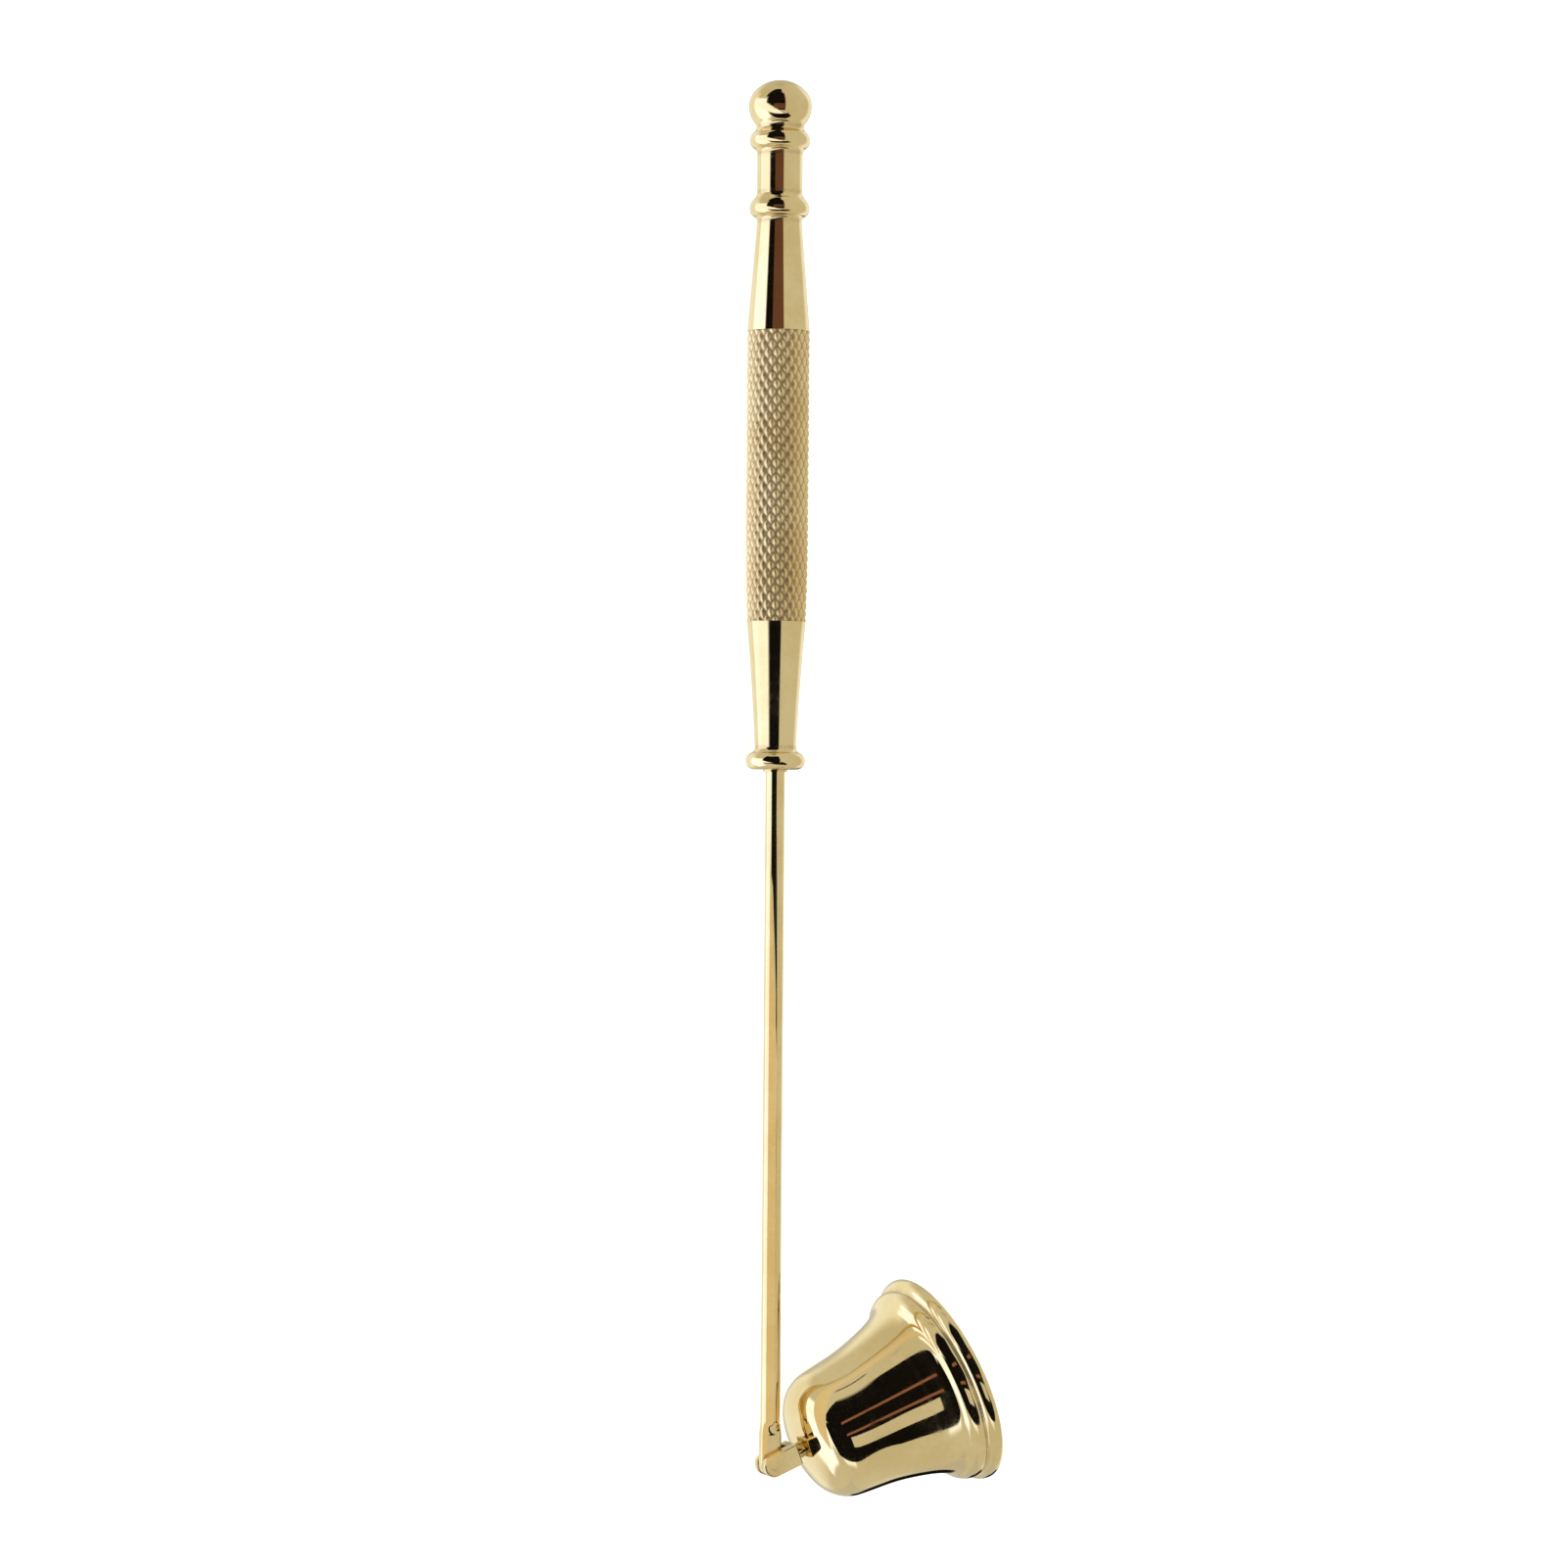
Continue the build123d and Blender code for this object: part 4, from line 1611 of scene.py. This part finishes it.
@dataclass
class Studio:
    """A white table in plain light, and the room that the polished metal mirrors."""

    camera: Camera
    floor_half: float = 2.0
    floor_tone: Colour = (0.62, 0.62, 0.62)
    floor_dullness: float = 0.9
    floor_glow: float = 0.72

    def build(self, pin: Vector) -> None:
        """Add the world, the table and the cards.

        Args:
            pin: Place of the hinge pin.
        """
        scene = bpy.context.scene
        scene.view_settings.view_transform = "Standard"
        scene.world = self._world()
        self._table()
        [self._card(card, pin) for card in CARDS]

    def _soft_panel(self) -> bpy.types.ShaderNodeTree:
        """Build the group that tells how much a direction lies inside a soft-edged panel.

        Returns:
            The group, which is 1 inside the panel.
        """
        tree = bpy.data.node_groups.new("soft_panel", "ShaderNodeTree")
        for label in ("Round", "Up", "Left", "Right", "Low", "High", "Lean", "Soft"):
            tree.interface.new_socket(label, in_out="INPUT", socket_type="NodeSocketFloat")
        tree.interface.new_socket("Inside", in_out="OUTPUT", socket_type="NodeSocketFloat")
        graph = Graph(tree)
        given = graph.node("NodeGroupInput", {}).outputs
        across = graph.math("MULTIPLY_ADD", given["Up"], given["Lean"], given["Round"])
        gaps = (
            graph.math("SUBTRACT", across, given["Left"]),
            graph.math("SUBTRACT", given["Right"], across),
            graph.math("SUBTRACT", given["Up"], given["Low"]),
            graph.math("SUBTRACT", given["High"], given["Up"]),
        )
        left, right, low, high = (
            graph.between(graph.math("DIVIDE", gap, given["Soft"]), -0.5, 0.5) for gap in gaps
        )
        across_it, up_it = graph.math("MULTIPLY", left, right), graph.math("MULTIPLY", low, high)
        inside = graph.math("MULTIPLY", across_it, up_it)
        graph.node("NodeGroupOutput", {"Inside": inside})
        return tree

    def _world(self) -> bpy.types.World:
        """Make plain white light, with the room's panels for what the metal mirrors.

        Returns:
            The world.
        """
        world = bpy.data.worlds.new("studio")
        world.use_nodes = True
        graph = Graph(world.node_tree)
        plain = world.node_tree.nodes["Background"]
        plain.inputs["Color"].default_value = (1, 1, 1, 1)
        way = graph.node(
            "ShaderNodeMapping",
            {
                "Vector": graph.node("ShaderNodeTexCoord", {}).outputs["Object"],
                "Rotation": self.camera.axes.to_euler(),
            },
            vector_type="TEXTURE",
        ).outputs[0]
        right, up, back = graph.node("ShaderNodeSeparateXYZ", {0: way}).outputs
        around = graph.math("DEGREES", graph.math("ARCTAN2", right, back))
        rise = graph.math("DEGREES", graph.math("ARCSINE", up))
        group = self._soft_panel()
        tone: object = (*ROOM_TONE, 1)
        for panel in PANELS:
            inside = graph.group(
                group,
                {
                    "Round": around,
                    "Up": rise,
                    "Left": panel.left,
                    "Right": panel.right,
                    "Low": panel.low,
                    "High": panel.high,
                    "Lean": panel.lean,
                    "Soft": panel.soft,
                },
            )["Inside"]
            tone = graph.mix(inside, tone, (*panel.tone, 1))
        mirrored = graph.node("ShaderNodeBackground", {"Color": tone, "Strength": 1.0})
        glossy = graph.node("ShaderNodeLightPath", {}).outputs["Is Glossy Ray"]
        both = graph.node(
            "ShaderNodeMixShader", {0: glossy, 1: plain.outputs[0], 2: mirrored.outputs[0]}
        )
        graph.put(world.node_tree.nodes["World Output"].inputs["Surface"], both.outputs[0])
        return world

    def _table(self) -> bpy.types.Object:
        """Make the white table top, bright enough to read as white, with the snuffer's faint shadow.

        Returns:
            The table's object.
        """
        half = self.floor_half
        corners = [(-half, -half, 0), (half, -half, 0), (half, half, 0), (-half, half, 0)]
        mesh = bpy.data.meshes.new("table_top")
        mesh.from_pydata(corners, [], [(0, 1, 2, 3)])
        material = bpy.data.materials.new("white_table")
        material.use_nodes = True
        shader = material.node_tree.nodes["Principled BSDF"]
        shader.inputs["Base Color"].default_value = (*self.floor_tone, 1)
        shader.inputs["Roughness"].default_value = self.floor_dullness
        shader.inputs["Emission Color"].default_value = (1, 1, 1, 1)
        shader.inputs["Emission Strength"].default_value = self.floor_glow
        mesh.materials.append(material)
        table = surface_object("table_top", mesh)
        table.visible_glossy = False
        return table

    def _card(self, card: Card, pin: Vector) -> bpy.types.Object:
        """Make a card parallel to the picture, seen only in reflections.

        Args:
            card: Its place and tone.
            pin: Place of the hinge pin.

        Returns:
            The card's object.
        """
        corners = [pin + self.camera.axes @ place for place in card.places()]
        mesh = bpy.data.meshes.new(card.name)
        mesh.from_pydata(corners, [], [list(range(len(corners)))])
        material = bpy.data.materials.new(card.name)
        material.use_nodes = True
        shader = material.node_tree.nodes["Principled BSDF"]
        shader.inputs["Base Color"].default_value = (0, 0, 0, 1)
        shader.inputs["Specular IOR Level"].default_value = 0.0
        shader.inputs["Emission Color"].default_value = (*card.tone, 1)
        shader.inputs["Emission Strength"].default_value = 1.0
        mesh.materials.append(material)
        piece = surface_object(card.name, mesh)
        for use in ("visible_camera", "visible_diffuse", "visible_transmission", "visible_shadow"):
            setattr(piece, use, False)
        return piece


@dataclass
class Snuffer:
    """The whole snuffer: its pieces, dressed and set on the bodies of the CAD model."""

    frame: dict
    metal: Metal
    hinge_front: float = 5.6 * MM
    neck_sink: float = 0.02552 * MM
    stud_reach: float = 2.6 * MM

    def __post_init__(self) -> None:
        """Read the hinge's place and the bell's direction from the frame."""
        joint = self.frame["joints"][0]
        mounts = self.frame["record"]["mounts"]
        self.pin = Vector(joint["pos_m"])
        self.pin_axis = -Vector(joint["axis"]).normalized()
        self.mouth = Vector(next(m["axis"] for m in mounts if m["name"] == "bell_mouth")).normalized()
        self.handle_line = Turning(self.pin, Vector((0, 1, 0)), Vector((1, 0, 0)))
        self.bell_line = Turning(self.pin, self.mouth, self.pin_axis)
        self.pin_line = Turning(self.pin, self.pin_axis, Vector((0, 1, 0)))

    def add(self, piece: bpy.types.Object, body: Body, slot: Slot, node: str) -> None:
        """Set a finished piece on its body, in place of its CAD node.

        Args:
            piece: The piece.
            body: Body that it moves with.
            slot: Material slot of the record; not used.
            node: CAD node that it stands for.
        """
        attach(piece, body.value)
        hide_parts(node)
        triangles = sum(len(face.vertices) - 2 for face in piece.data.polygons)
        LOG.info("%s: %d triangles", piece.name, triangles)

    def dress(self, node: str, material: bpy.types.Material) -> None:
        """Give a CAD node a material and leave its mesh as it is.

        Args:
            node: Name of the node.
            material: The material.
        """
        piece = self.frame["nodes"][node]
        for place in piece.material_slots:
            place.link = "OBJECT"
            place.material = material
        LOG.info("%s: dressed in %s", node, material.name)

    def build_handle(self) -> None:
        """Add the bar, the knurl and the ball."""
        handle, make, line = Handle(), self.metal.build, self.handle_line
        bar = handle.build(self.pin)
        # The grooves by the collar, beads and ball are darkened with dirt and painted shade
        bar.data.materials.append(make(POLISHED_HANDLE, line, handle.grooves()))
        self.add(bar, Body.HANDLE_AND_ROD, Slot.HANDLE, "handle")
        knurl = Knurl(handle).build(self.pin, make(KNURLED_GRIP, line, crest=True))
        self.add(knurl, Body.HANDLE_AND_ROD, Slot.HANDLE, "handle")
        ball = FinialBall(handle.seat_at, handle.seat_radius).build(self.pin)
        ball.data.materials.append(make(POLISHED_BALL, line, (handle.seat_at,)))
        self.add(ball, Body.HANDLE_AND_ROD, Slot.HANDLE, "finial_ball")

    def build_rod(self) -> None:
        """Add the rod."""
        rod = Rod().build(self.pin, self.pin_axis)
        rod.data.materials.append(self.metal.build(DRAWN_ROD, self.handle_line))
        self.add(rod, Body.HANDLE_AND_ROD, Slot.ROD, "rod")

    def build_bell(self) -> None:
        """Add the bell, the fork with its rivet, and what clamps the fork to the crown."""
        bell = Bell(crown_at=self.hinge_front - self.neck_sink)
        shell = bell.build(self.pin, self.mouth, self.pin_axis)
        # The groove behind the mouth's ring is darkened with dirt and painted shade
        outside = self.metal.build(SPUN_BELL, self.bell_line, (bell.groove_at,))
        shell.data.materials.append(outside)
        shell.data.materials.append(self.metal.build(BELL_LINING, self.bell_line))
        self.add(shell, Body.BELL_HEAD, Slot.BELL, "bell")
        hinge = Hinge(stud_end=bell.land_at + self.stud_reach)
        fork = hinge.build_fork(self.pin, self.mouth, self.pin_axis)
        # Painted shade and dirt in a band round the slot, at the middle of the pin
        fork.data.materials.append(self.metal.build(MILLED_FORK, self.pin_line, (0.0,)))
        self.add(fork, Body.BELL_HEAD, Slot.FORK, "hinge_fork")
        rivet = hinge.build_pin(self.pin, self.pin_axis)
        rivet.data.materials.append(self.metal.build(RIVET_HEAD, self.pin_line))
        self.add(rivet, Body.BELL_HEAD, Slot.FORK, "hinge_pin")
        self.dress("spring_washer", self.metal.build(SPRING_STEEL, self.bell_line))
        self.dress("crown_nut", self.metal.build(TURNED_BRASS, self.bell_line))


def main() -> None:
    """Build the snuffer piece by piece round the CAD frame, then the camera and the studio."""
    logging.basicConfig(level=logging.INFO, format="%(name)s: %(message)s")
    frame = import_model()
    snuffer = Snuffer(frame, Metal(Effects()))
    snuffer.build_handle()
    snuffer.build_rod()
    snuffer.build_bell()
    camera = Camera()
    camera.build(snuffer.pin)
    Studio(camera).build(snuffer.pin)


if __name__ == "__main__":
    main()
